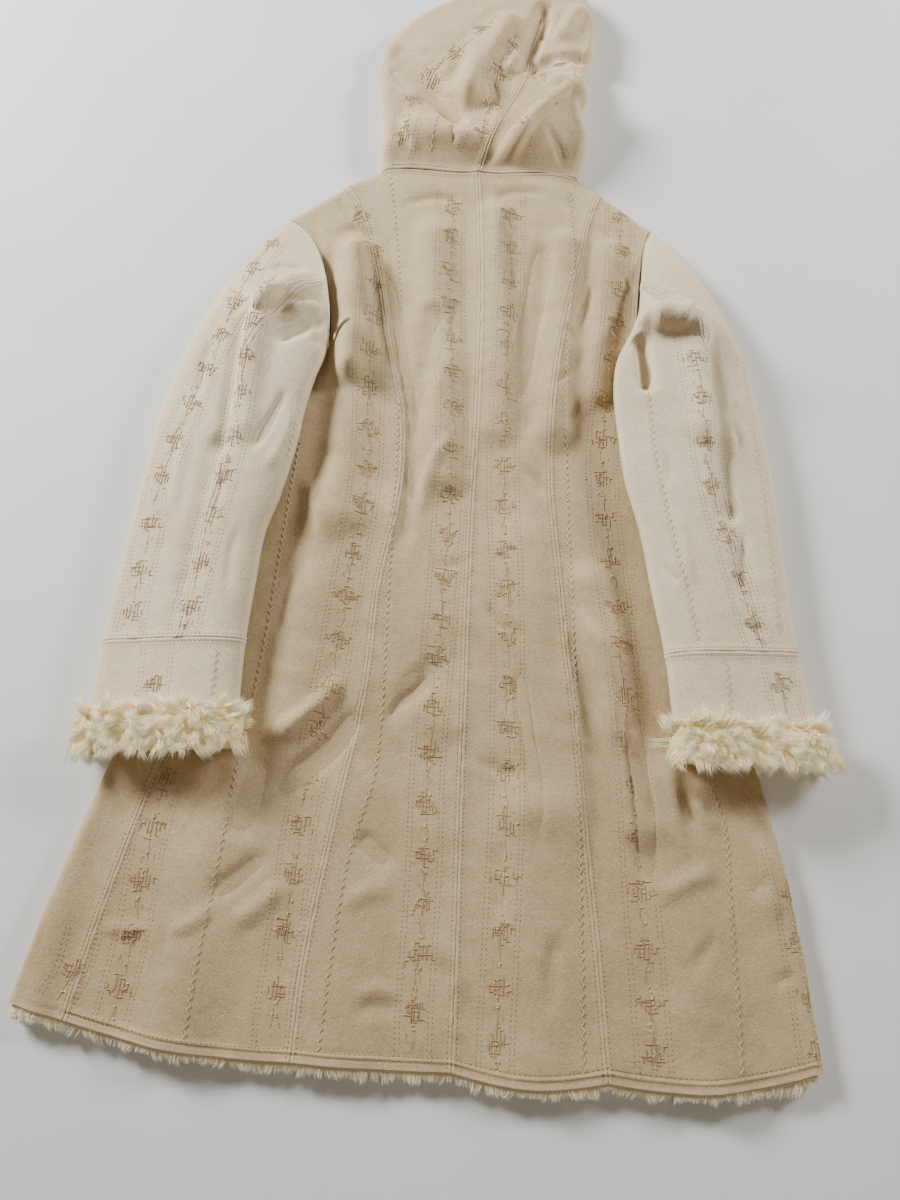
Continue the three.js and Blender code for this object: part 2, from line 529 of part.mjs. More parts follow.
// The right side panel also wraps round the fold edge to the side seam beneath.
function backSideRight() {
  const levels = LEVELS_RIGHT;
  const outer = (level) => {
    if (level > UNDERARM_LEVEL) return armholeSpot(1, level);
    const edge = spot(FOLD_EDGE_RIGHT, level);
    return { x: edge.x - FOLD_RUN + SEAM_GAP / 2, y: edge.y };
  };
  const grid = backPanel(levels, (l) => spot(PRINCESS_RIGHT, l), outer, SIDE_ACROSS, BOW.sideRight);
  levels.forEach((level, row) => {
    const at = Math.min(level, UNDERARM_LEVEL);
    const edge = spot(FOLD_EDGE_RIGHT, at);
    const inward = { x: edge.x - FAR, y: edge.y };
    const seam = spot(SIDE_SEAM_RIGHT, at);
    const height = grid.face[row][SIDE_ACROSS.length - 1].z;
    const pairs = TURNS.map((turn) => foldPair(edge, inward, height, turn));
    const middle = { x: mix(edge.x - FOLD_RUN, seam.x, 0.5), y: edge.y };
    for (const p of [middle, { x: seam.x + SEAM_GAP / 2, y: edge.y }]) {
      pairs.push([{ ...p, z: 0 }, { ...p, z: WALL }]);
    }
    pairs.forEach((pair) => {
      grid.face[row].push(pair[0]);
      grid.inside[row].push(pair[1]);
    });
  });
  const limit = underarmRow(levels);
  return shell(grid.face, grid.inside, (i, j) => i < limit || j < SIDE_ACROSS.length - 1);
}

// Neck line of the back, where the hood is sewn on.
function neckHeight(x) {
  const centre = spot(CENTRE_BACK, BODY_TOP_LEVEL);
  const left = x < centre.x;
  const end = spot(left ? PRINCESS_LEFT : PRINCESS_RIGHT, BODY_TOP_LEVEL);
  const u = Math.min(1, (x - centre.x) / (end.x - centre.x));
  return bowed(mixSpot(centre, end, u), left ? BOW.centreLeft : BOW.centreRight, u, BODY_TOP_LEVEL).y;
}

const FRONT_ACROSS = { left: [0, 0.25, 0.49, 0.75, 1], right: [0, 0.2, 0.41, 0.7, 1] };

// Top of the front at a plan x: the shoulder line, then the neckline down to the centre front.
function frontTop(x) {
  const middle = spot(CENTRE_FRONT, BODY_TOP_LEVEL);
  const left = x < middle.x;
  const corner = left ? NECK_CORNERS.left : NECK_CORNERS.right;
  const tip = spot(left ? ARMHOLE_LEFT : ARMHOLE_RIGHT, 1);
  const beyond = (x - corner) * (left ? -1 : 1);
  const cornerY = neckHeight(corner);
  if (beyond > 0) return mix(cornerY, tip.y, (x - corner) / (tip.x - corner));
  const t = (x - corner) / (middle.x - corner);
  return mix(cornerY, middle.y, t);
}

const HEM_BOW_FRONT = 8;
const FRONT_BOW_ENDS = 1.2; // level where the front hem's bow has died out
const FRONT_TOP_STARTS = 8.4; // level where the front begins to follow the neckline
const FAR = 100; // any distance well inboard of a fold edge

// Front panels lie on the floor. The left one wraps up over its fold edge to the side seam on top.
function frontPanel(side) {
  const levels = side < 0 ? LEVELS_LEFT : LEVELS_RIGHT;
  const face = [];
  const inside = [];
  levels.forEach((level) => {
    const pairs = [];
    const at = Math.min(level, UNDERARM_LEVEL);
    let outer = armholeSpot(side, level);
    if (side < 0) {
      const edge = spot(FOLD_EDGE_LEFT, at);
      const inward = { x: edge.x + FAR, y: edge.y };
      const seam = spot(SIDE_SEAM_LEFT, at);
      const start = toward(seam, edge, SEAM_GAP / 2);
      const top = { x: edge.x + FOLD_RUN, y: edge.y };
      pairs.push(backPair(start), backPair(mixSpot(start, top, 0.5)), backPair(top));
      const height = backHeight(top.x, top.y);
      TURNS.slice(0, -1).forEach((turn) => pairs.push(foldPair(edge, inward, height, turn)));
      if (level <= UNDERARM_LEVEL) outer = top;
    } else if (level <= UNDERARM_LEVEL) {
      const seam = spot(SIDE_SEAM_RIGHT, level);
      outer = { x: seam.x - SEAM_GAP / 2, y: spot(FOLD_EDGE_RIGHT, level).y };
    }
    const centre = spot(CENTRE_FRONT, level);
    centre.x += side * SEAM_GAP;
    const across = side < 0 ? FRONT_ACROSS.left : FRONT_ACROSS.right;
    across.forEach((u) => {
      const p = mixSpot(outer, centre, u);
      const hem = 1 - ease(0, FRONT_BOW_ENDS, level);
      p.y -= evenBow(u) * HEM_BOW_FRONT * hem;
      p.y = mix(p.y, frontTop(p.x), ease(FRONT_TOP_STARTS, BODY_TOP_LEVEL, level));
      pairs.push([{ ...p, z: 0 }, { ...p, z: WALL }]);
    });
    face.push(pairs.map((pair) => pair[0]));
    inside.push(pairs.map((pair) => pair[1]));
  });
  if (side > 0) return shell(face, inside);
  const limit = underarmRow(levels);
  const wrapColumns = 3 + TURNS.length - 1;
  return shell(face, inside, (i, j) => i < limit || j >= wrapColumns);
}

const sleeveRows = (side) => (side < 0 ? SLEEVE_LEFT : SLEEVE_RIGHT);

const BEND_STATIONS = 2.5; // how far down a sleeve its rings still bend with the armhole
const HOLE_CLEAR = { above: 0.4, below: 1.2, inward: 1.6 }; // kept between sleeve and armhole

// Plan point of a sleeve at a station, a fraction across from its outer end. The first rings bend
// with the armhole, a little clear of the body.
function sleevePlan(side, station, across, above, grow) {
  const rows = sleeveRows(side);
  const hole = side < 0 ? ARMHOLE_LEFT : ARMHOLE_RIGHT;
  const outer = { x: along(rows, station, 'ox'), y: along(rows, station, 'oy') };
  const inner = { x: along(rows, station, 'ix'), y: along(rows, station, 'iy') };
  const width = Math.hypot(outer.x - inner.x, outer.y - inner.y);
  const p = mixSpot(outer, inner, mix(-grow, width + grow, across) / width);
  const bend = Math.max(0, 1 - station / BEND_STATIONS) ** 2;
  const onHole = spot(hole, 1 - across);
  const straight = mixSpot(spot(hole, 1), spot(hole, 0), across);
  const clear = above ? HOLE_CLEAR.above : HOLE_CLEAR.below + HOLE_CLEAR.inward * across;
  p.x += (onHole.x - straight.x) * bend + side * clear * bend;
  p.y += (onHole.y - straight.y) * bend;
  return p;
}

const FOLDS_BEGIN = 1.5; // station by which a sleeve's folds are at their full height
const FOLDS_END = { from: 7, to: 8 }; // and stations over which they die out at the cuff

// Ring of a sleeve at a station: plan point and height for a fraction across, above or below.
function sleevePoint(side, station, across, above, grow = 0) {
  const rows = sleeveRows(side);
  const folds = side < 0 ? SLEEVE_FOLDS_LEFT : SLEEVE_FOLDS_RIGHT;
  const inner = { x: along(rows, station, 'ix'), y: along(rows, station, 'iy') };
  const height = along(rows, station, 'height');
  const p = sleevePlan(side, station, across, above, grow);
  const end = Math.abs(2 * across - 1);
  const arch = (1 - end ** ARCH_POWER) ** (1 / ARCH_POWER);
  const belly = (1 - end ** BELLY_POWER) ** (1 / BELLY_POWER);
  const low = underSleeve(side, p.x, p.y);
  const lean = underSleeve(side, inner.x, inner.y) * ease(0.1, 0.9, across);
  const middle = lean + height / 2;
  if (above) {
    const settle = ease(0, FOLDS_BEGIN, station) * (1 - ease(FOLDS_END.from, FOLDS_END.to, station));
    const lift = foldLift(folds, p.x, p.y) * settle * arch;
    return { ...p, z: middle + (height / 2 + grow) * arch + lift };
  }
  const floor = low + Math.max(-grow, 0);
  return { ...p, z: middle - (middle - floor) * belly };
}

// Face and inside of one ring, round from the outer end over the top and back beneath.
function sleeveRing(side, station, outward = 0, inward = WALL) {
  const above = ringFractions(along(sleeveRows(side), station, 'seam'));
  const below = belowFractions(side, station, outward);
  const ring = (grow) => [
    ...above.map((f) => sleevePoint(side, station, f, true, grow)),
    ...below.map((f) => sleevePoint(side, station, f, false, grow)),
  ];
  return { face: ring(outward), inside: ring(-inward) };
}

const BACK_SEAM_COLUMN = ACROSS_SLEEVE.length - 1;
const FRONT_SEAM_COLUMN = ACROSS_SLEEVE.length + ACROSS_INNER.length + BELOW_INNER.length - 1;
const SEAM_STEP = 0.003; // half a seam gap, in stations
const DRAW_IN = 0.8 * SEAM_GAP; // how far a sleeve's seam edges are drawn in
const STATIONS = [0, 0.5, 1, 1.5, 2, 2.5, 3, 3.5, 4, 4.7, 5.4, 6.1, 6.8, 7.4, 8];

// Draws one end of a ring slice in for the seam gap, its face and inside alike.
function drawIn(face, inside, end, next) {
  const { x, y, z } = face[end];
  const far = face[next];
  const t = DRAW_IN / Math.hypot(x - far.x, y - far.y, z - far.z);
  const shift = { x: (far.x - x) * t, y: (far.y - y) * t, z: (far.z - z) * t };
  for (const points of [face, inside]) {
    const p = points[end];
    points[end] = { x: p.x + shift.x, y: p.y + shift.y, z: p.z + shift.z };
  }
}

function sleeveHalf(side, upper) {
  const face = [];
  const inside = [];
  STATIONS.forEach((s) => {
    const ring = sleeveRing(side, s === CUFF_LEVEL ? s - SEAM_STEP : s);
    const slice = (points) => (upper
      ? [...points.slice(FRONT_SEAM_COLUMN), ...points.slice(0, BACK_SEAM_COLUMN + 1)]
      : points.slice(BACK_SEAM_COLUMN, FRONT_SEAM_COLUMN + 1));
    const faceSlice = slice(ring.face);
    const insideSlice = slice(ring.inside);
    const last = faceSlice.length - 1;
    drawIn(faceSlice, insideSlice, 0, 1);
    drawIn(faceSlice, insideSlice, last, last - 1);
    face.push(faceSlice);
    inside.push(insideSlice);
  });
  return shell(face, inside);
}

function tube(rings) {
  return shell(rings.map((ring) => ring.face), rings.map((ring) => ring.inside), () => true, true);
}

function cuff(side) {
  const stations = [CUFF_LEVEL + SEAM_STEP, 8.35, 8.7, FUR_LEVEL - SEAM_STEP];
  return tube(stations.map((s) => sleeveRing(side, s)));
}

// Long fur of the cuff: a soft roll that swells past the cloth.
const ROLL = [
  { at: 0.004, out: 0.1, into: 0.55 }, { at: 0.14, out: 0.8, into: 0.9 },
  { at: 0.42, out: 1, into: 1 }, { at: 0.72, out: 0.9, into: 1 },
  { at: 0.93, out: 0.4, into: 0.7 }, { at: 1, out: -0.3, into: 0.2 },
];

function cuffFur(side) {
  return tube(ROLL.map((row) => sleeveRing(
    side, FUR_LEVEL + row.at, CUFF_FUR.swell * row.out, CUFF_FUR.inner * row.into,
  )));
}

const HOOD_SOFTNESS = 4; // how gently the hollows end
const HOOD_RISES = { from: 746, to: 786 }; // stretch of the hood that climbs from the neck

function hoodHeight(x, y) {
  const settled = ease(HOOD_RISES.from, HOOD_RISES.to, y);
  const spare = HOOD_LIE - HOOD_LEAST + foldLift(HOOD_FOLDS, x, y);
  const free = HOOD_LEAST + (spare + Math.hypot(spare, HOOD_SOFTNESS)) / 2;
  return mix(HOOD_NECK_HEIGHT, free, settled);
}

function hoodFloor(p) {
  const away = Math.hypot(p.x - HOOD_PEEK.x, p.y - HOOD_PEEK.y);
  return HOOD_PEEK.rise * (1 - ease(HOOD_PEEK.flat, HOOD_PEEK.reach, away));
}

const HOOD_SPOKES = [0, 0.5, 1, 1.5, 2, 2.5, 3, 3.3, 3.6, 3.9, 4.2, 4.5, 4.75, 5];
const HOOD_ACROSS = [0, 0.16, 0.33, 0.5, 0.67, 0.84, 1];
const NECK_GAP = 0.6;
const HOOD_RUN = 12; // the hood's fold edge is fuller than the body's
const HOOD_FALL = 0.12; // share of its height that the hood loses toward its fold edge

function hoodHalf(rows, side) {
  const face = [];
  const inside = [];
  const crown = HOOD_SPOKES[HOOD_SPOKES.length - 1];
  HOOD_SPOKES.forEach((at) => {
    const read = (column) => along(rows, at, column);
    const centre = { x: read('cx'), y: read('cy') + SEAM_GAP };
    const edge = { x: read('lx'), y: read('ly') };
    const opening = { x: read('qx'), y: read('qy') };
    if (at === crown) {
      centre.x += (side * SEAM_GAP) / 2;
      edge.x += (side * SEAM_GAP) / 2;
      opening.x += (side * SEAM_GAP) / 2;
    }
    const start = at === crown ? centre : toward(centre, edge, SEAM_GAP / 2);
    const turnIn = toward(edge, centre, HOOD_RUN);
    const pairs = HOOD_ACROSS.map((u) => {
      const p = mixSpot(start, turnIn, u);
      if (at === 0) p.y = neckHeight(p.x) + NECK_GAP;
      const top = hoodHeight(p.x, p.y);
      const fall = 1 - HOOD_FALL * ease(0.6, 1, u);
      return [{ ...p, z: top * fall }, { ...p, z: top * fall - WALL }];
    });
    const topHeight = pairs[pairs.length - 1][0].z;
    const base = hoodFloor(edge);
    TURNS.forEach((turn) => {
      const pair = foldPair(edge, centre, topHeight - base, turn, HOOD_RUN);
      pairs.push(pair.map((p) => ({ ...p, z: p.z + base })));
    });
    const under = toward(edge, centre, HOOD_RUN);
    [0.5, 1].forEach((u) => {
      const p = mixSpot(under, opening, u);
      if (at === 0) p.y = frontTop(p.x) + NECK_GAP;
      const low = hoodFloor(p);
      pairs.push([{ ...p, z: low }, { ...p, z: low + WALL }]);
    });
    face.push(pairs.map((pair) => pair[0]));
    inside.push(pairs.map((pair) => pair[1]));
  });
  return shell(face, inside);
}

// Solid strip of an oval section swept along plan stations, resting on the floor.
function strip(stations, segments) {
  const rings = stations.map((station, k) => {
    const before = stations[Math.max(k - 1, 0)];
    const after = stations[Math.min(k + 1, stations.length - 1)];
    const length = Math.hypot(after.x - before.x, after.y - before.y);
    const nx = (after.y - before.y) / length;
    const ny = -(after.x - before.x) / length;
    const ring = [];
    for (let s = 0; s < segments; s += 1) {
      const angle = (2 * Math.PI * s) / segments;
      const out = (station.width / 2) * Math.cos(angle);
      const z = station.base + (station.height / 2) * (1 + Math.sin(angle));
      ring.push({ x: station.x + nx * out, y: station.y + ny * out, z });
    }
    return ring;
  });
  return loft(rings);
}

// Closed body through rings of points, capped at both ends.
function loft(rings) {
  const count = rings[0].length;
  const positions = [];
  rings.forEach((ring) => ring.forEach((p) => {
    positions.push(p.x - PLAN_MID.x, p.y - PLAN_MID.y, p.z);
  }));
  const triangles = [];
  const id = (i, j) => i * count + (j % count);
  for (let i = 0; i < rings.length - 1; i += 1) {
    for (let j = 0; j < count; j += 1) {
      triangles.push(id(i, j), id(i, j + 1), id(i + 1, j + 1));
      triangles.push(id(i, j), id(i + 1, j + 1), id(i + 1, j));
    }
  }
  const last = rings.length - 1;
  for (let j = 1; j < count - 1; j += 1) {
    triangles.push(id(0, 0), id(0, j + 1), id(0, j));
    triangles.push(id(last, 0), id(last, j), id(last, j + 1));
  }
  return meshFrom(positions, triangles);
}

const FUR_STEP = 0.5;
const FUR_SIDES = 8;

function hoodFur() {
  const stations = [];
  const end = HOOD_FUR[HOOD_FUR.length - 1].at;
  for (let at = 0; at <= end; at += FUR_STEP) {
    const read = (column) => along(HOOD_FUR, at, column);
    stations.push({ x: read('x'), y: read('y'), width: read('width'), height: read('height'), base: 0 });
  }
  return strip(stations, FUR_SIDES);
}

// Section of the pile that shows past the hem: reach and height, as shares of its whole.
const PILE_SECTION = { shoulder: 0.55, shoulderHeight: 0.7, toe: 0.92 };

// Pile that shows past the hem: a wedge under each layer of cloth, thinning to its tip.
function hemPile(stations) {
  const rings = stations.map((station, k) => {
    const before = stations[Math.max(k - 1, 0)];
    const after = stations[Math.min(k + 1, stations.length - 1)];
    const length = Math.hypot(after.x - before.x, after.y - before.y);
    const nx = (after.y - before.y) / length;
    const ny = -(after.x - before.x) / length;
    const place = (out, z) => ({ x: station.x + nx * out, y: station.y + ny * out, z });
    const { low, high } = station;
    const shoulder = mix(low + HEM_PILE.tip, high, PILE_SECTION.shoulderHeight);
    return [
      place(SEAM_GAP, low), place(SEAM_GAP, high),
      place(HEM_PILE.reach * PILE_SECTION.shoulder, shoulder),
      place(HEM_PILE.reach, low + HEM_PILE.tip), place(HEM_PILE.reach * PILE_SECTION.toe, low),
    ];
  });
  return loft(rings);
}

// Points of the upper hem, from the left fold edge to the right one.
function upperHem() {
  const corner = spot(FOLD_EDGE_LEFT, 0);
  const seam = spot(SIDE_SEAM_LEFT, 0);
  const end = spot(FOLD_EDGE_RIGHT, 0);
  const turnedLeft = { x: corner.x + FOLD_RUN, y: corner.y };
  const turnedRight = { x: end.x - FOLD_RUN, y: end.y };
  const points = [turnedLeft, mixSpot(turnedLeft, seam, 0.5)];
  const spans = [
    { to: seam, from: spot(PRINCESS_LEFT, 0), bow: BOW.sideLeft, across: SIDE_ACROSS, left: true },
    {
      to: spot(PRINCESS_LEFT, 0), from: spot(CENTRE_BACK, 0), bow: BOW.centreLeft,
      across: CENTRE_ACROSS, left: true,
    },
    {
      from: spot(CENTRE_BACK, 0), to: spot(PRINCESS_RIGHT, 0), bow: BOW.centreRight,
      across: CENTRE_ACROSS, left: false,
    },
    {
      from: spot(PRINCESS_RIGHT, 0), to: turnedRight, bow: BOW.sideRight,
      across: SIDE_ACROSS, left: false,
    },
  ];
  spans.forEach(({ from, to, bow, across, left }, k) => {
    const order = left ? [...across].reverse() : across;
    order.forEach((u, n) => {
      if (k > 0 && n === 0) return;
      points.push(bowed(mixSpot(from, to, u), bow, u, 0));
    });
  });
  return points;
}

const UNDER_FACE = 0.6; // the pile starts this far below the face of its cloth
const FRONT_PILE_HIGH = WALL - 0.4;

function hemPileBack() {
  const stations = upperHem().map((p) => {
    const high = backHeight(p.x, p.y) - UNDER_FACE;
    return { ...p, low: Math.max(WALL + UNDER_FACE, high - WALL), high };
  });
  return hemPile(stations);
}

function hemPileFront() {
  const stations = [];
  const edge = spot(FOLD_EDGE_LEFT, 0);
  const seam = spot(SIDE_SEAM_RIGHT, 0);
  const left = { x: edge.x + 2, y: edge.y };
  const middle = spot(CENTRE_FRONT, 0);
  const right = spot(FOLD_EDGE_RIGHT, 0);
  const outer = { x: edge.x + FOLD_RUN, y: edge.y };
  stations.push({ ...left, y: left.y - 0.2 });
  FRONT_ACROSS.left.forEach((u) => {
    const p = mixSpot(outer, middle, u);
    stations.push({ x: p.x, y: p.y - evenBow(u) * HEM_BOW_FRONT });
  });
  [...FRONT_ACROSS.right].reverse().slice(1, -1).forEach((u) => {
    const p = mixSpot({ x: seam.x, y: right.y }, middle, u);
    stations.push({ x: p.x, y: p.y - evenBow(u) * HEM_BOW_FRONT });
  });
  stations.push({ x: seam.x, y: right.y }, { x: right.x - FOLD_RUN, y: right.y });
  return hemPile(stations.map((p) => ({ ...p, low: 0, high: FRONT_PILE_HIGH })));
}

const coat = new THREE.Group();
coat.name = 'shearling_coat';
coat.add(
  piece('back_centre_left', backCentre(-1), CLOTH_COLOURS.body),
  piece('back_centre_right', backCentre(1), CLOTH_COLOURS.body),
  piece('back_side_left', backSideLeft(), CLOTH_COLOURS.side),
  piece('back_side_right', backSideRight(), CLOTH_COLOURS.side),
  piece('front_left', frontPanel(-1), CLOTH_COLOURS.body),
  piece('front_right', frontPanel(1), CLOTH_COLOURS.body),
  piece('sleeve_left_upper', sleeveHalf(-1, true), CLOTH_COLOURS.sleeve),
  piece('sleeve_left_under', sleeveHalf(-1, false), CLOTH_COLOURS.sleeve),
  piece('sleeve_right_upper', sleeveHalf(1, true), CLOTH_COLOURS.sleeve),
  piece('sleeve_right_under', sleeveHalf(1, false), CLOTH_COLOURS.sleeve),
  piece('cuff_left', cuff(-1), CLOTH_COLOURS.sleeve),
  piece('cuff_right', cuff(1), CLOTH_COLOURS.sleeve),
  piece('cuff_fur_left', cuffFur(-1), FUR_COLOUR, 1),
  piece('cuff_fur_right', cuffFur(1), FUR_COLOUR, 1),
  piece('hood_left', hoodHalf(HOOD_LEFT, -1), CLOTH_COLOURS.hood),
  piece('hood_right', hoodHalf(HOOD_RIGHT, 1), CLOTH_COLOURS.hood),
  piece('hood_fur', hoodFur(), FUR_COLOUR, 1),
  piece('hem_pile_back', hemPileBack(), FUR_COLOUR, 1),
  piece('hem_pile_front', hemPileFront(), FUR_COLOUR, 1),
);

export default coat;
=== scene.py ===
"""Hooded shearling coat laid out face down: the back, the sleeves and the hood lie uppermost.

Lengths are millimetres until a mesh is made. A plan point is a complex number: its real part runs
to the right, its imaginary part from the hem toward the hood. Heights stand apart from it.
"""
import math

import bpy
import numpy as np
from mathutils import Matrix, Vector
from mathutils.bvhtree import BVHTree


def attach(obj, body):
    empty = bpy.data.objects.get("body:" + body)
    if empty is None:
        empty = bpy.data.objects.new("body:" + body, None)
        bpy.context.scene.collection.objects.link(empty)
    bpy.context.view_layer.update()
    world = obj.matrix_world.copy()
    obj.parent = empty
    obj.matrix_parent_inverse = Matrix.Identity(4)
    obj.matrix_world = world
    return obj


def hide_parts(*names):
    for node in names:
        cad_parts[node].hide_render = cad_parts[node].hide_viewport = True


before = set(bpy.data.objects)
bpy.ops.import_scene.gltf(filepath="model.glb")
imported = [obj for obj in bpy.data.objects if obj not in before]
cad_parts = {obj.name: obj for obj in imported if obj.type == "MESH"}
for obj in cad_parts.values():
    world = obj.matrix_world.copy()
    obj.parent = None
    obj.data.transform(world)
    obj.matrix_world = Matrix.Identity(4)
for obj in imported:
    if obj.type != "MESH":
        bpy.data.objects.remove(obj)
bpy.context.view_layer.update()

# Sizes shared with the solids
LIE = 13.3  # height of the back's face where the coat lies flattest
FOLD_RUN = 9.0  # how far in from a fold edge the cloth lies flat
HOOD_RUN = 12.0  # and at the hood's edge
PLAN_MID = -13.1 + 425j  # middle of the whole coat in plan
TOP_LEVEL = 10.0  # level of the neck and shoulder line; level 0 is the hem
UNDERARM_LEVEL = 7.0  # level at which the side seams end
CORNER_LEVEL = 7.5  # level at which the armholes turn upward
CUFF_STATION = 8.0  # a sleeve's stations run from 0 at the shoulder
FUR_STATION = 9.0
ARCH_POWER = 2.4  # fullness of a sleeve's section above
BELLY_POWER = 4.0  # and beneath, where it lies nearly flat
SLEEVE_CLIMB = (-26, -4)  # where a sleeve's underside climbs on to the body, inboard of its edge
UNDERARM_BLEND = (548, 584)  # where it comes back down
NECK_CORNERS = (-75.0, 142.0)
HEM_BOW_FRONT = 8.0
SHOULDER_LOW = 3.2  # where the back's edge ends at the shoulders
HOOD_LIE = 29.0  # usual height of the hood's face
HOOD_LEAST = 19.0  # its height in the deepest hollow
HOOD_NECK_HEIGHT = 16.0
HOOD_GAP = 0.6  # between the neck line and the hood

# Sizes of the looks
CLOTH = 2.4  # thickness of the suede-like face, without its pile
LEAST_LIE = 7.0  # the least height of the back's face in a crease
SEAM_GAP = 0.1
TOPSTITCH = 3.6  # topstitching from its seam
HEM_TURN = 7.9  # the piping from the hem
HEM_REACH = 13.0  # of the pile past the hem
STITCH_PITCH = 4.0
CELL = 4.0  # size of a cell of the cloth along the coat
NO_SEAM = 40.0  # distance to a seam where there is none about
FUR_LOW = 1.4  # hair tips stay this far above the surface the coat lies on


def table(columns, *rows):
    """Rows of numbers under named columns."""
    return dict(zip(columns.split(), np.array(rows, dtype=float).T))


CENTRE_BACK = table(
    "at x y",
    (0, 1, -161), (1, 5, -60), (2, 9, 60), (3, 13, 160), (4, 17, 260), (5, 22, 360),
    (6, 28, 450), (7, 32, 535), (8, 33, 610), (9, 33, 680), (10, 31, 746),
)
PRINCESS_LEFT = table(
    "at x y",
    (0, -133, -153), (1, -123, -60), (2, -100, 60), (3, -80, 162), (4, -70, 260), (5, -51, 358),
    (6, -49, 445), (7, -65, 535), (8, -78, 618), (9, -96, 690), (10, -116, 732),
)
PRINCESS_RIGHT = table(
    "at x y",
    (0, 131, -169), (1, 126, -60), (2, 118, 60), (3, 112, 155), (4, 106, 258), (5, 100, 360),
    (6, 104, 450), (7, 118, 540), (8, 136, 615), (9, 153, 684), (10, 167, 722),
)
SIDE_SEAM_LEFT = table(
    "at x y",
    (0, -326, -121), (1, -309, -52), (2, -277, 58), (3, -248, 150), (4, -226, 250),
    (5, -208, 350), (6, -204, 430), (7, -203, 503),
)
FOLD_EDGE_LEFT = table(
    "at x y",
    (0, -377, -109), (1, -359, -50), (2, -324, 60), (3, -291, 152), (4, -256, 252),
    (5, -232, 350), (6, -224, 430), (7, -221, 503),
)
FOLD_EDGE_RIGHT = table(
    "at x y",
    (0, 312, -163), (1, 304, -60), (2, 285, 62), (3, 268, 155), (4, 255, 255),
    (5, 247, 350), (6, 246, 430), (7, 252, 501),
)
SIDE_SEAM_RIGHT = table("at x y", (0, 262, -164), (2, 246, 61), (4, 226, 255), (7, 230, 501))
CENTRE_FRONT = table(
    "at x y",
    (0, -28, -150), (3, -12, 158), (6, 8, 440), (8, 20, 590), (9, 26, 655), (10, 32, 712),
)
ARMHOLE_LEFT = table(
    "at x y",
    (0, -126, 522), (0.2, -125, 553), (0.4, -129, 590), (0.6, -137, 628), (0.8, -152, 662),
    (1, -177, 689),
)
ARMHOLE_RIGHT = table(
    "at x y",
    (0, 188, 520), (0.2, 197, 552), (0.4, 201, 584), (0.6, 205, 615), (0.8, 210, 647),
    (1, 219, 674),
)
# How far the hem and the top line of a back panel bow: centre left and right, side left and right
BOW = {"centre_left": (-1, 14), "centre_right": (-8, 13), "side_left": (-7, 0), "side_right": (-10, 0)}

FOLD = "x0 y0 x1 y1 rise left right"
BODY_FOLDS = table(
    FOLD,
    (-105, 640, -104, 500, 18, 26, 30), (-104, 525, -112, 340, 9, 32, 46),
    (-112, 360, -150, 130, 7, 46, 50), (-22, 660, -10, 380, 11, 30, 44),
    (-20, 560, -32, 455, -5, 16, 20), (52, 690, 52, 430, 10, 34, 26),
    (126, 650, 104, 430, 12, 28, 34), (172, 640, 150, 470, 9, 26, 26),
    (-52, 735, 110, 735, 3, 40, 36), (-70, 330, -14, 140, 6, 46, 60),
    (-21, 178, -68, 126, -4, 18, 20), (78, 400, 80, 60, 6, 46, 44),
    (134, 262, 172, 40, 9, 30, 40), (-205, 70, -240, -150, 8, 52, 60),
    (-90, 60, -100, -165, 5, 50, 55), (62, 40, 70, -180, 6, 50, 55),
    (205, 70, 215, -180, 8, 50, 50), (-330, 40, -352, -110, 5, 22, 26),
)
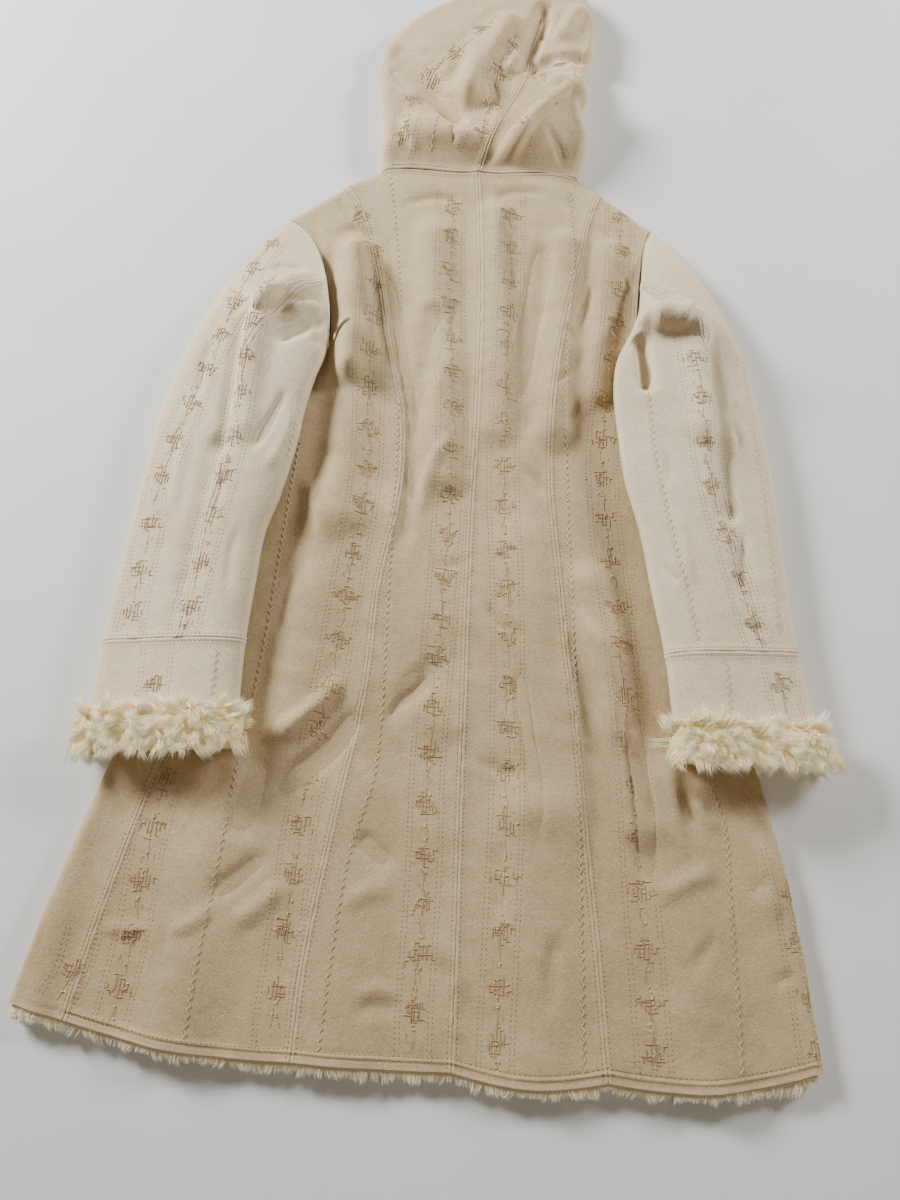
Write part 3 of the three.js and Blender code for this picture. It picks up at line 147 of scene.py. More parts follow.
# Creases, laid over the folds: rise, reach to either side of a line that runs down the coat, how
# pointed the crest is, how much of the line fades in and out, and places along the line
BODY_CREASES = [
    (6, 13, 15, 0, 0.05, 0.4, [(-104, 648), (-95, 592), (-83, 531), (-68, 461)]),
    (-7, 9, 15, 0.5, 0.15, 0.4, [(-71, 627), (-61, 580), (-52, 519), (-40, 438), (-44, 377)]),
    (-3, 9, 11, 0.3, 0.4, 0.4, [(-130, 655), (-115, 670), (-96, 670), (-71, 640)]),
    (-3.5, 17, 22, 0, 0.4, 0.4, [(2, 580), (-13, 525), (-31, 461)]),
    (-9, 14, 20, 0.2, 0.2, 0.3, [(104, 662), (87, 580), (74, 513), (67, 450)]),
    (-4, 8, 10, 0.5, 0.3, 0.3, [(154, 603), (140, 565), (126, 536)]),
    (-3, 6, 8, 0.6, 0.3, 0.3, [(133, 463), (124, 445), (114, 434)]),
    (-4.5, 5, 10, 1, 0.3, 0.3, [(33, 251), (39, 235), (47, 223), (61, 216), (66, 196)]),
    (-5.5, 6, 14, 1, 0.3, 0.3, [(-18, 178), (-32, 160), (-48, 149), (-62, 128)]),
    (-6, 14, 9, 0.3, 0.2, 0.3, [(65, 193), (70, 141), (78, 78), (82, 0)]),
    (6, 26, 22, 0, 0.3, 0.3, [(100, 208), (107, 132), (111, 60), (115, -17)]),
    (8, 22, 8, 0.4, 0.3, 0.3, [(111, 251), (131, 222), (146, 193), (152, 151), (152, 91)]),
    (-9, 12, 16, 0.3, 0.3, 0.3, [(164, 160), (169, 96), (172, 43), (174, -33)]),
    (3.5, 12, 14, 0, 0.3, 0.3, [(195, 114), (199, 60), (203, -8)]),
    (-2.6, 8, 10, 0.5, 0.3, 0.3, [(20, 98), (45, 87), (73, 80)]),
    (7, 12, 17, 0.2, 0.3, 0.3, [(-97, 183), (-120, 151), (-147, 128), (-173, 109)]),
    (-8, 14, 18, 0, 0.3, 0.3, [(-80, 151), (-104, 114), (-136, 85), (-168, 57)]),
    (-5, 20, 20, 0, 0.3, 0.3, [(-171, 109), (-180, 64), (-191, 17)]),
    (-4.5, 14, 14, 0.3, 0.3, 0.3, [(-82, 32), (-63, 12), (-44, 1)]),
    (2.4, 14, 11, 0.2, 0.3, 0.3, [(-97, -31), (-70, -17), (-42, -16)]),
    (1.8, 10, 10, 0.4, 0.3, 0.3, [(-84, -103), (-59, -97), (-39, -104)]),
    (-1.6, 9, 9, 0.3, 0.3, 0.3, [(-86, -119), (-62, -111), (-37, -115)]),
    (2.8, 8, 9, 0.5, 0.3, 0.3, [(-304, -44), (-280, -50), (-257, -48)]),
    (-2.8, 9, 9, 0.4, 0.3, 0.3, [(-241, -38), (-248, -66), (-240, -96)]),
    (3.2, 9, 11, 0.4, 0.3, 0.3, [(-202, -27), (-227, -45), (-251, -51)]),
    (4, 12, 16, 0.3, 0.3, 0.3, [(-145, -7), (-168, -30), (-196, -49)]),
    (-3.5, 14, 14, 0, 0.3, 0.3, [(-157, 19), (-187, -8), (-219, -27)]),
    (-3.4, 7, 8, 0.6, 0.3, 0.3, [(206, 69), (213, 53), (220, 36)]),
    (2.8, 9, 9, 0.4, 0.3, 0.3, [(215, 62), (228, 44), (243, 31)]),
    (-3.4, 7, 7, 0.7, 0.3, 0.3, [(261, -21), (273, -12), (286, -8)]),
    (-3.4, 7, 7, 0.7, 0.3, 0.3, [(274, -95), (287, -88), (301, -86)]),
    (-2.8, 8, 10, 0.4, 0.3, 0.3, [(231, -53), (214, -70), (200, -87)]),
    (3.4, 12, 12, 0.1, 0.3, 0.3, [(175, -27), (210, -8), (239, 2)]),
    (3.4, 12, 14, 0.1, 0.3, 0.3, [(274, 37), (280, -8), (282, -54)]),
    (-2.4, 8, 9, 0.3, 0.3, 0.3, [(-57, 701), (-22, 713), (22, 709)]),
    (-2.4, 8, 9, 0.3, 0.3, 0.3, [(44, 712), (78, 721), (113, 717)]),
    (-3.4, 8, 10, 0.3, 0.3, 0.3, [(58, 692), (63, 630), (67, 574)]),
    (-3, 6, 7, 0.7, 0.3, 0.3, [(127, 717), (138, 695), (148, 668)]),
    (-2.6, 6, 7, 0.7, 0.3, 0.3, [(186, 612), (192, 601), (198, 590)]),
    (-2.6, 6, 7, 0.7, 0.3, 0.3, [(119, 546), (127, 536), (134, 524)]),
    (-2.6, 6, 7, 0.7, 0.3, 0.3, [(122, 495), (115, 485), (107, 474)]),
    (-3.4, 12, 15, 0.1, 0.3, 0.3, [(-41, 416), (-41, 350), (-48, 283)]),
    (3.6, 12, 14, 0.1, 0.3, 0.3, [(-150, 385), (-132, 345), (-116, 286)]),
    (-3, 8, 9, 0.4, 0.3, 0.3, [(-149, 292), (-159, 247), (-164, 208)]),
    (3, 10, 12, 0.2, 0.3, 0.3, [(5, 427), (-20, 383), (-31, 329)]),
    (-2.4, 7, 8, 0.5, 0.3, 0.3, [(70, 383), (84, 372), (97, 350)]),
    (-2.4, 7, 8, 0.5, 0.3, 0.3, [(-19, 288), (-4, 282), (15, 286)]),
    (-3, 10, 12, 0.2, 0.3, 0.3, [(35, 25), (44, -8), (41, -49)]),
    (3, 14, 14, 0, 0.3, 0.3, [(-17, -49), (2, -74), (17, -113)]),
    (-3, 12, 12, 0.1, 0.3, 0.3, [(95, -49), (87, -81), (89, -120)]),
]
# Where the sleeves press the back flat: from, to, how softly, and how far inside their inner edges
FLAT_UNDER_SLEEVES = (86, 520, 28, 6)

SLEEVE = "at ox oy ix iy height seam"
SLEEVE_LEFT = table(
    SLEEVE,
    (0, -177, 689, -126, 522, 15, 0.55), (1, -205, 650, -129, 503, 27, 0.52),
    (2, -238, 597, -137, 480, 33, 0.5), (3, -266, 540, -144, 452, 34, 0.52),
    (4, -293, 455, -152, 405, 33, 0.57), (5, -304, 385, -165, 352, 32, 0.58),
    (6, -313, 325, -178, 312, 31, 0.58), (7, -320, 268, -184, 262, 31, 0.58),
    (8, -328, 206, -190, 204, 30, 0.57), (9, -334, 143, -192, 144, 29, 0.57),
    (10, -341, 100, -193, 101, 28, 0.57),
)
SLEEVE_RIGHT = table(
    SLEEVE,
    (0, 219, 674, 188, 520, 15, 0.56), (1, 243, 640, 175, 508, 27, 0.42),
    (2, 270, 598, 168, 488, 33, 0.33), (3, 296, 535, 165, 458, 34, 0.3),
    (4, 311, 465, 167, 418, 33, 0.36), (5, 319, 390, 171, 368, 32, 0.4),
    (6, 322, 322, 183, 312, 31, 0.39), (7, 323, 260, 190, 255, 31, 0.34),
    (8, 327, 194, 199, 190, 30, 0.3), (9, 338, 127, 202, 131, 29, 0.29),
    (10, 345, 84, 204, 88, 28, 0.28),
)
SLEEVE_FOLDS_LEFT = table(
    FOLD,
    (-138, 588, -196, 560, 12, 30, 15), (-190, 560, -204, 420, 6, 32, 22),
    (-212, 545, -222, 400, -6, 14, 16), (-132, 545, -168, 520, -9, 12, 12),
    (-232, 400, -252, 230, -4, 14, 18),
)
SLEEVE_CREASES_LEFT = [
    (9, 10, 24, 0.3, 0.15, 0.35, [(-130, 609), (-154, 601), (-172, 584), (-190, 562),
        (-200, 541), (-204, 508), (-207, 468), (-210, 435)]),
    (7, 13, 10, 0.2, 0.3, 0.2, [(-174, 553), (-155, 560), (-139, 560), (-127, 553)]),
    (-7, 9, 10, 0.2, 0.3, 0.3, [(-135, 549), (-133, 530), (-136, 507)]),
    (-5, 7, 9, 0.1, 0.3, 0.3, [(-147, 568), (-169, 560), (-190, 533)]),
    (-6, 10, 11, 0.1, 0.3, 0.3, [(-191, 615), (-170, 610), (-149, 617)]),
    (-5.5, 7, 10, 0.5, 0.3, 0.3, [(-161, 465), (-175, 429), (-197, 383)]),
    (3.5, 10, 10, 0, 0.3, 0.3, [(-149, 448), (-163, 404), (-182, 362)]),
    (-3, 8, 9, 0.4, 0.3, 0.3, [(-242, 528), (-252, 491), (-255, 448)]),
    (-2.6, 7, 8, 0.5, 0.3, 0.3, [(-218, 372), (-225, 341), (-225, 310)]),
    (3, 9, 11, 0.1, 0.3, 0.3, [(-260, 426), (-266, 372), (-271, 320)]),
    (-2.6, 7, 9, 0.5, 0.3, 0.3, [(-200, 320), (-207, 280), (-206, 240)]),
    (-2.4, 7, 8, 0.5, 0.3, 0.3, [(-288, 341), (-276, 310), (-275, 280)]),
    (-2.6, 8, 9, 0.4, 0.3, 0.3, [(-202, 576), (-217, 564), (-233, 538)]),
]
SLEEVE_FOLDS_RIGHT = table(
    FOLD,
    (203, 540, 250, 532, 15, 14, 34), (240, 530, 246, 420, 6, 18, 34),
    (196, 512, 197, 465, -12, 12, 14), (262, 520, 268, 330, -6, 14, 16),
    (272, 330, 288, 215, -3, 16, 16),
)
SLEEVE_CREASES_RIGHT = [
    (9, 30, 11, 0.2, 0.2, 0.2, [(200, 540), (223, 544), (245, 546), (254, 539)]),
    (6, 24, 10, 0.2, 0.15, 0.4, [(249, 546), (256, 530), (255, 479), (252, 413), (253, 359),
        (257, 308)]),
    (-5, 5, 5, 0.9, 0.1, 0.2, [(200, 591), (217, 567), (236, 554), (253, 547)]),
    (-11, 11, 12, 0.1, 0.3, 0.3, [(182, 521), (192, 502), (194, 477), (190, 457)]),
    (6, 8, 11, 0.1, 0.3, 0.3, [(174, 507), (164, 465), (163, 410), (169, 347)]),
    (5, 7, 9, 0.2, 0.3, 0.3, [(220, 570), (246, 561), (262, 532), (267, 495)]),
    (-3.4, 6, 7, 0.7, 0.3, 0.3, [(281, 426), (288, 410), (284, 391)]),
    (-2.6, 6, 7, 0.6, 0.3, 0.3, [(291, 452), (284, 441), (275, 432)]),
    (-3, 8, 9, 0.4, 0.3, 0.3, [(201, 423), (212, 391), (213, 349)]),
    (3, 10, 10, 0.1, 0.3, 0.3, [(216, 339), (220, 293), (226, 248)]),
    (-2.8, 7, 9, 0.5, 0.3, 0.3, [(287, 318), (275, 278), (275, 239)]),
    (-2.6, 7, 8, 0.5, 0.3, 0.3, [(197, 278), (207, 263), (221, 258)]),
    (-2.6, 8, 8, 0.4, 0.3, 0.3, [(262, 633), (273, 606), (280, 572)]),
]
SPOKE = "at cx cy lx ly qx qy"
HOOD_LEFT = table(
    SPOKE,
    (0, 32, 746, -77, 752, 22, 748), (1, 44, 778, -76, 804, -14, 800),
    (2, 60, 815, -79, 858, -34, 852), (3, 84, 862, -80, 907, -46, 896),
    (4, 97, 910, -34, 969, -14, 946), (4.5, 103, 934, 44, 1013, 48, 984),
    (5, 108, 955, 111, 1037, 110, 1003),
)
HOOD_RIGHT = table(
    SPOKE,
    (0, 32, 746, 143, 741, 44, 748), (1, 44, 778, 157, 789, 88, 790),
    (2, 60, 815, 147, 826, 102, 828), (3, 84, 862, 158, 878, 116, 876),
    (4, 97, 910, 171, 938, 132, 928), (4.5, 103, 934, 161, 1001, 132, 976),
    (5, 108, 955, 111, 1037, 110, 1003),
)
HOOD_FOLDS = table(
    FOLD,
    (56, 756, 140, 842, 16, 34, 12), (-66, 898, -24, 850, -13, 20, 26),
    (-24, 850, 8, 812, -12, 18, 20), (20, 846, 66, 940, 14, 34, 26),
    (88, 884, 112, 966, -12, 14, 18), (100, 884, 150, 896, -11, 12, 14),
    (-40, 800, 16, 782, 7, 24, 26), (130, 930, 150, 965, 7, 18, 16),
    (122, 862, 140, 866, 6, 16, 14),
)
HOOD_CREASES = [
    (10, 9, 28, 0.3, 0.15, 0.2, [(55, 752), (73, 768), (100, 801), (129, 832), (161, 863)]),
    (-11, 14, 16, 0.1, 0.3, 0.3, [(-69, 898), (-45, 861), (-20, 843), (-2, 826), (13, 797)]),
    (-4, 4, 6, 0.8, 0.3, 0.3, [(7, 801), (3, 788), (4, 771)]),
    (8, 12, 9, 0.1, 0.3, 0.3, [(60, 866), (73, 889), (81, 910)]),
    (-8, 11, 14, 0.1, 0.3, 0.3, [(109, 922), (118, 940), (130, 964)]),
    (-9, 6, 8, 0.3, 0.3, 0.3, [(90, 884), (101, 866), (117, 862)]),
    (6, 9, 10, 0.1, 0.3, 0.3, [(112, 886), (130, 892), (150, 884)]),
    (-3.5, 7, 8, 0.4, 0.3, 0.3, [(-73, 742), (-59, 750), (-42, 744)]),
    (6, 16, 14, 0, 0.3, 0.3, [(37, 946), (25, 884), (22, 834), (13, 807)]),
    (-4, 8, 9, 0.3, 0.3, 0.3, [(43, 863), (50, 841), (52, 824)]),
    (3.5, 10, 10, 0.2, 0.3, 0.3, [(-56, 813), (-42, 785), (-35, 758)]),
    (-3, 7, 8, 0.4, 0.3, 0.3, [(105, 792), (121, 771), (127, 747)]),
    (-3.4, 7, 8, 0.4, 0.3, 0.3, [(-34, 913), (-21, 889), (-11, 869)]),
]
HOOD_FUR = table(
    "at x y width height",
    (0, 27, 763, 10, 8), (1, -2, 803, 15, 11), (2, -20, 852, 15, 10.5), (3, -33, 892, 14, 7.4),
    (4, -44, 930, 15, 7.4), (5, -37, 962, 16, 7.4), (6, -14, 970, 14, 7.4), (7, 10, 959, 13, 7),
    (8, 50, 958, 13, 8), (9, 104, 985, 14, 11), (10, 118, 928, 14, 11), (11, 103, 877, 14, 11),
    (12, 89, 831, 15, 12), (13, 74, 795, 14, 11), (14, 47, 765, 10, 8),
)
HOOD_PEEK = (-30 + 955j, 50, 85, 8)  # where the edge is held up, flat out to, ends at, rise

# Both sides of the coat: -1 is the left, 1 the right
SIDES = {-1: "left", 1: "right"}
PRINCESS = {-1: PRINCESS_LEFT, 1: PRINCESS_RIGHT}
FOLD_EDGE = {-1: FOLD_EDGE_LEFT, 1: FOLD_EDGE_RIGHT}
ARMHOLE = {-1: ARMHOLE_LEFT, 1: ARMHOLE_RIGHT}
SLEEVE_ROWS = {-1: SLEEVE_LEFT, 1: SLEEVE_RIGHT}
SLEEVE_FOLDS = {-1: SLEEVE_FOLDS_LEFT, 1: SLEEVE_FOLDS_RIGHT}
SLEEVE_CREASES = {-1: SLEEVE_CREASES_LEFT, 1: SLEEVE_CREASES_RIGHT}
HOOD_ROWS = {-1: HOOD_LEFT, 1: HOOD_RIGHT}


# Curves and folds
def along(rows, at, column):
    """Cubic through the rows of a table, for one of its columns."""
    knots, values = rows["at"], rows[column]
    order = np.arange(len(knots))
    low, high = np.maximum(order - 1, 0), np.minimum(order + 1, len(knots) - 1)
    slopes = (values[high] - values[low]) / (knots[high] - knots[low])
    k = np.clip(np.searchsorted(knots, at) - 1, 0, len(knots) - 2)
    span = knots[k + 1] - knots[k]
    t = (at - knots[k]) / span
    return (
        (2 * t**3 - 3 * t**2 + 1) * values[k] + (t**3 - 2 * t**2 + t) * slopes[k] * span
        + (3 * t**2 - 2 * t**3) * values[k + 1] + (t**3 - t**2) * slopes[k + 1] * span
    )


def spot(rows, at):
    """Plan point at a place along the rows of a table."""
    return along(rows, at, "x") + 1j * along(rows, at, "y")


LINE_STEP = 2.0  # between the points of a line that threads follow


def smooth_line(points, step=LINE_STEP):
    """Plan points every step along a curve through a few places."""
    p = np.array([complex(x, y) for x, y in points])
    rows = {"at": np.concatenate([[0], np.cumsum(np.abs(np.diff(p)))]), "x": p.real, "y": p.imag}
    at = np.arange(0, rows["at"][-1], step)
    return spot(rows, at)


def toward(start, end, distance):
    """Point this far along the way from start to end."""
    return start + (end - start) * distance / np.abs(end - start)


def ease(low, high, value):
    """Smooth step from 0 at low to 1 at high."""
    t = np.clip((value - low) / (high - low), 0, 1)
    return t * t * (3 - 2 * t)


def fold_lift(folds, p):
    """Sum of a table's folds. Each is a soft ridge, or a trough, that fades past its ends."""
    lift = np.zeros(p.shape)
    for x0, y0, x1, y1, rise, left, right in zip(*(folds[c] for c in FOLD.split())):
        run = complex(x1 - x0, y1 - y0)
        turned = (p - complex(x0, y0)) * run.conjugate() / abs(run)
        reach = np.where(turned.imag < 0, left, right)
        past = np.maximum(np.maximum(-turned.real, turned.real - abs(run)), 0) / (0.5 * (left + right))
        away = np.minimum(np.hypot(turned.imag / reach, past), 1)
        lift += rise * np.cos(away * math.pi / 2) ** 2
    return lift


def crease_lift(creases, p):
    """Sum of creases. Each is a ridge, or a trough, along a curve through its places."""
    lift = np.zeros(p.shape)
    for rise, left, right, pointed, fade_in, fade_out, places in creases:
        way = smooth_line(places, 5.0)
        reach = max(left, right)
        close = (p.real > way.real.min() - reach) & (p.real < way.real.max() + reach)
        close &= (p.imag > way.imag.min() - reach) & (p.imag < way.imag.max() + reach)
        q = p[close][:, None]
        run = np.diff(way)
        turned = (q - way[:-1]) * run.conj() / np.abs(run)
        foot = np.clip(turned.real, 0, np.abs(run))
        apart = np.hypot(turned.real - foot, turned.imag)
        nearest_run = np.argmin(apart, axis=1)[:, None]
        distance = np.take_along_axis(apart, nearest_run, 1)[:, 0]
        offset = np.take_along_axis(turned.imag, nearest_run, 1)[:, 0]
        travelled = np.concatenate([[0], np.cumsum(np.abs(run))])
        down = travelled[nearest_run[:, 0]] + np.take_along_axis(foot, nearest_run, 1)[:, 0]
        down = down / travelled[-1]
        away = np.minimum(distance / np.where(offset < 0, left, right), 1)
        shape = (1 - pointed) * np.cos(away * math.pi / 2) ** 2 + pointed * (1 - away) ** 2
        lift[close] += rise * shape * ease(0, fade_in, down) * ease(0, fade_out, 1 - down)
    return lift


def late_bow(u):
    """Bow that is 0 at both ends, and 1 at its height two thirds along."""
    return 6.75 * u * u * (1 - u)


def swell(p, length, seed):
    """Gentle uneven waves about this long, from -1 to 1."""
    rng = np.random.default_rng(seed)
    total = np.zeros(p.shape)
    for _ in range(7):
        wave = length * rng.uniform(0.7, 1.6)
        turn = np.exp(1j * rng.uniform(0, math.pi))
        total += np.sin(2 * math.pi * (p * turn).real / wave + rng.uniform(0, 6.3))
    return total / 4


def seam_relief(distance):
    """Height of the cloth near a seam: the join itself, a welt, and the dip of its topstitching."""
    welt = 1.1 * (1 - ease(TOPSTITCH - 0.4, TOPSTITCH + 3.4, distance))
    join = -0.6 * np.exp(-((distance / 0.6) ** 2))
    dip = -0.7 * np.exp(-(((distance - TOPSTITCH) / 0.8) ** 2))
    return welt + join + dip


def hem_relief(distance):
    """Height of the cloth near the hem: a turned edge with a thin piping above it."""
    piping = 0.8 * np.exp(-(((distance - HEM_TURN) / 1.2) ** 2))
    lines = -0.3 * np.exp(-(((np.abs(distance - HEM_TURN) - 2.3) / 0.7) ** 2))
    return piping + lines + 0.3 * (1 - ease(0, HEM_TURN, distance))


def pucker(distance, length, seed):
    """Small waves that a seam draws into the cloth beside it."""
    rng = np.random.default_rng(seed)
    wave = np.zeros(np.broadcast(distance, length).shape)
    for _ in range(4):
        wave += np.sin(2 * math.pi * length / rng.uniform(15, 34) + rng.uniform(0, 6.3))
    return 0.16 * wave * np.exp(-distance / 11)


# Shape of the body
def edge_at(rows, y):
    """How far across an edge lies at a distance up the coat."""
    return np.interp(y, rows["y"], rows["x"])


def inner_edge(rows):
    """Inner edge of a sleeve, from its end up."""
    return {"x": rows["ix"][:0:-1], "y": rows["iy"][:0:-1]}


INNER_LEFT, INNER_RIGHT = inner_edge(SLEEVE_LEFT), inner_edge(SLEEVE_RIGHT)


def free_of_sleeves(p):
    """From 1 where the back is free to rise to 0 where a sleeve presses it flat."""
    start, end, blend, lap = FLAT_UNDER_SLEEVES
    within = ease(start - blend, start, p.imag) * (1 - ease(end, end + blend, p.imag))
    left = ease(-lap, blend - lap, edge_at(INNER_LEFT, p.imag) - p.real)
    right = ease(-lap, blend - lap, p.real - edge_at(INNER_RIGHT, p.imag))
    return 1 - within * np.maximum(left, right)


def back_height(p):
    """Height of the solids' back. Its folds rise from where it lies flattest."""
    lift = fold_lift(BODY_FOLDS, p)
    soft = (lift + np.sqrt(lift * lift + 4)) / 2 - 1
    return LIE + soft * free_of_sleeves(p)


def back_relief(p):
    """Creases and waves too small for the solids."""
    small = crease_lift(BODY_CREASES, p) + 0.7 * swell(p, 80, 3) + 0.25 * swell(p, 30, 4)
    small = small * free_of_sleeves(p)
    spare = back_height(p) + small - LEAST_LIE
    return small + (np.hypot(spare, 2) - spare) / 2


def bowed(p, bow, u, level):
    """Points of a back panel, moved so that its hem and its top line bow."""
    hem, top = bow
    even = 4 * u * (1 - u) * hem * (1 - ease(0, 1.5, level))
    outward = late_bow(u) * top * ease(9, 10, level)
    return p + 1j * (even + outward)


NEAR_SEAM = np.array([0, 0.7, 1.6, 2.8, 3.6, 4.4, 5.6, 7.8])
STITCHED = 4  # column of the topstitching
NEAR_HEM = np.array([0, 1.2, 3, 4.8, 5.7, 6.7, 7.9, 9.1, 10.2, 12])
NEAR_TOP = np.array([10, 8, 6.4, 5.2, 4.4, 3.6, 2.6, 1.4, 0.6, 0])
HEM_LINE = 8  # row of the stitches above the piping
TOP_LINE = -5  # row of the stitches below the top line, or above a cuff
PER_LEVEL = 95.0  # length of a level near the hem
TOP_PER_LEVEL = 60.0  # and near the top
LEVELS = np.concatenate([
    NEAR_HEM / PER_LEVEL,
    np.linspace(NEAR_HEM[-1] / PER_LEVEL, TOP_LEVEL - 12 / TOP_PER_LEVEL, int(880 / CELL))[1:],
    TOP_LEVEL - NEAR_TOP / TOP_PER_LEVEL,
])
UNDERARM_ROW = int(np.argmin(np.abs(LEVELS - UNDERARM_LEVEL)))
LEVELS[UNDERARM_ROW] = UNDERARM_LEVEL


def column_distances(width, count):
    """Distances across a panel, crowded beside the seams at both of its ends."""
    last = NEAR_SEAM[-1]
    middle = last + (width - 2 * last) * np.linspace(0, 1, count + 2)[1:-1]
    return np.concatenate([
        np.broadcast_to(NEAR_SEAM, (len(width), len(NEAR_SEAM))), middle, width - NEAR_SEAM[::-1],
    ], axis=1)


def armhole_spot(side, level):
    """Edge of a body panel from the underarm up the armhole to the shoulder."""
    hole = ARMHOLE[side]
    corner = spot(hole, 0.0)
    underarm = spot(SIDE_SEAM_LEFT if side < 0 else FOLD_EDGE_RIGHT, UNDERARM_LEVEL)
    t = np.clip((level - UNDERARM_LEVEL) / (CORNER_LEVEL - UNDERARM_LEVEL), 0, 1)
    below = underarm + (corner - underarm) * t - 12j * np.sin(math.pi * t) * ease(0, 1, 1 - t)
    up = np.clip((level - CORNER_LEVEL) / (TOP_LEVEL - CORNER_LEVEL), 0, 1)
    return np.where(level >= CORNER_LEVEL, spot(hole, up), below)


def shoulder_turn(p):
    """1 along the shoulders, where the back turns down, and 0 along the neck."""
    left, right = NECK_CORNERS
    return ease(-4, 12, np.maximum(left - p.real, p.real - right))


def neck_height(x):
    """How far up the top line of the back lies."""
    centre = spot(CENTRE_BACK, TOP_LEVEL)
    left = x < centre.real
    end = np.where(left, *(spot(PRINCESS[side], TOP_LEVEL) for side in SIDES))
    u = np.minimum(1, (x - centre.real) / (end.real - centre.real))
    top = np.where(left, BOW["centre_left"][1], BOW["centre_right"][1])
    return (centre + (end - centre) * u).imag + late_bow(u) * top


def front_top(x):
    """How far up the top line of the fronts lies."""
    middle = spot(CENTRE_FRONT, TOP_LEVEL)
    left = x < middle.real
    corner = np.where(left, *NECK_CORNERS)
    tip = np.where(left, *(spot(ARMHOLE[side], 1.0) for side in SIDES))
    corner_y = neck_height(corner)
    beyond = (x - corner) * np.where(left, -1, 1)
    shoulder = corner_y + (tip.imag - corner_y) * (x - corner) / (tip.real - corner)
    neckline = corner_y + (middle.imag - corner_y) * (x - corner) / (middle.real - corner)
    return np.where(beyond > 0, shoulder, neckline)


# Meshes
def place(p, z):
    """Plan points and heights as coordinates in millimetres, in the coat's own frame."""
    p, z = np.broadcast_arrays(p, z)
    return np.stack([p.real - PLAN_MID.real, p.imag - PLAN_MID.imag, z], axis=-1)


def grid_normals(points, up, around=False):
    """Outward normals of a grid. up is the row and column of a place whose normal points upward."""
    if around:
        across = np.roll(points, -1, axis=1) - np.roll(points, 1, axis=1)
    else:
        across = np.gradient(points, axis=1)
    down = np.gradient(points, axis=0)
    normal = np.cross(across, down)
    normal /= np.maximum(np.linalg.norm(normal, axis=-1, keepdims=True), 1e-9)
    return normal if normal[up][2] > 0 else -normal


def shell_faces(rows, columns, present, around):
    """Quads of a closed shell whose face and inside are grids of points, one after the other."""
    outer = np.arange(rows * columns).reshape(rows, columns)
    if around:
        outer = np.concatenate([outer, outer[:, :1]], axis=1)
    inner = outer + rows * columns
    has = np.ones((rows - 1, outer.shape[1] - 1), bool) if present is None else present

    def corners(grid):
        return grid[:-1, :-1], grid[:-1, 1:], grid[1:, 1:], grid[1:, :-1]

    oa, ob, oc, od = corners(outer)
    ia, ib, ic, id_ = corners(inner)
    wide = np.pad(has, 1)
    if around:
        wide[1:-1, 0], wide[1:-1, -1] = has[:, -1], has[:, 0]
    before_row, after_row = has & ~wide[:-2, 1:-1], has & ~wide[2:, 1:-1]
    before, after = has & ~wide[1:-1, :-2], has & ~wide[1:-1, 2:]
    parts = [
        np.stack([oa, ob, oc, od], -1)[has], np.stack([ia, id_, ic, ib], -1)[has],
        np.stack([oa, ia, ib, ob], -1)[before_row], np.stack([oc, ic, id_, od], -1)[after_row],
        np.stack([od, id_, ia, oa], -1)[before], np.stack([ob, ib, ic, oc], -1)[after],
    ]
    return np.concatenate(parts)


def make_object(name, points, faces, attributes, sharp=None):
    """Object of millimetre points. Turned outward when its signed volume comes out negative."""
    used, compact = np.unique(faces, return_inverse=True)
    faces = compact.reshape(np.shape(faces))
    points = points[used]
    a, b, c = points[faces[:, 0]], points[faces[:, 1]], points[faces[:, 2]]
    volume = np.einsum("ij,ij->", a, np.cross(b, c))
    if faces.shape[1] == 4:
        volume += np.einsum("ij,ij->", a, np.cross(c, points[faces[:, 3]]))
    if volume < 0:
        faces = faces[:, ::-1]
    mesh = bpy.data.meshes.new(name)
    mesh.from_pydata((points * 0.001).tolist(), [], faces.tolist())
    for label, values in attributes.items():
        layer = mesh.attributes.new(label, "FLOAT", "POINT")
        layer.data.foreach_set("value", np.asarray(values, dtype=np.float32).ravel()[used])
    mesh.shade_smooth()
    if sharp is not None:
        mesh.set_sharp_from_angle(angle=math.radians(sharp))
    obj = bpy.data.objects.new(name, mesh)
    bpy.context.scene.collection.objects.link(obj)
    return obj


FACES = {}  # built faces of the cloth: points and quads, for what is sewn on


def cloth(name, p, z, relief, near_seam, present=None, around=False, up=(40, 0), thick=CLOTH):
    """Thin shell of cloth on a base surface, its face raised or sunk by the relief."""
    base = place(p, z)
    normal = grid_normals(base, up, around)
    face = base + normal * relief[..., None]
    inside = base - normal * thick
    face[..., 2] = np.maximum(face[..., 2], 0)
    inside[..., 2] = np.maximum(inside[..., 2], 0)
    rows, columns = base.shape[:2]
    faces = shell_faces(rows, columns, present, around)
    points = np.concatenate([face.reshape(-1, 3), inside.reshape(-1, 3)])
    seams = np.concatenate([near_seam.ravel(), np.full(near_seam.size, NO_SEAM)])
    obj = make_object(name, points, faces, {"near_seam": seams}, sharp=50)
    outer = faces[(faces < rows * columns).all(axis=1)]
    FACES[name] = (face, outer)
    return obj


# Body panels
STITCH_LINES = []  # topstitching, as rows of points on the cloth


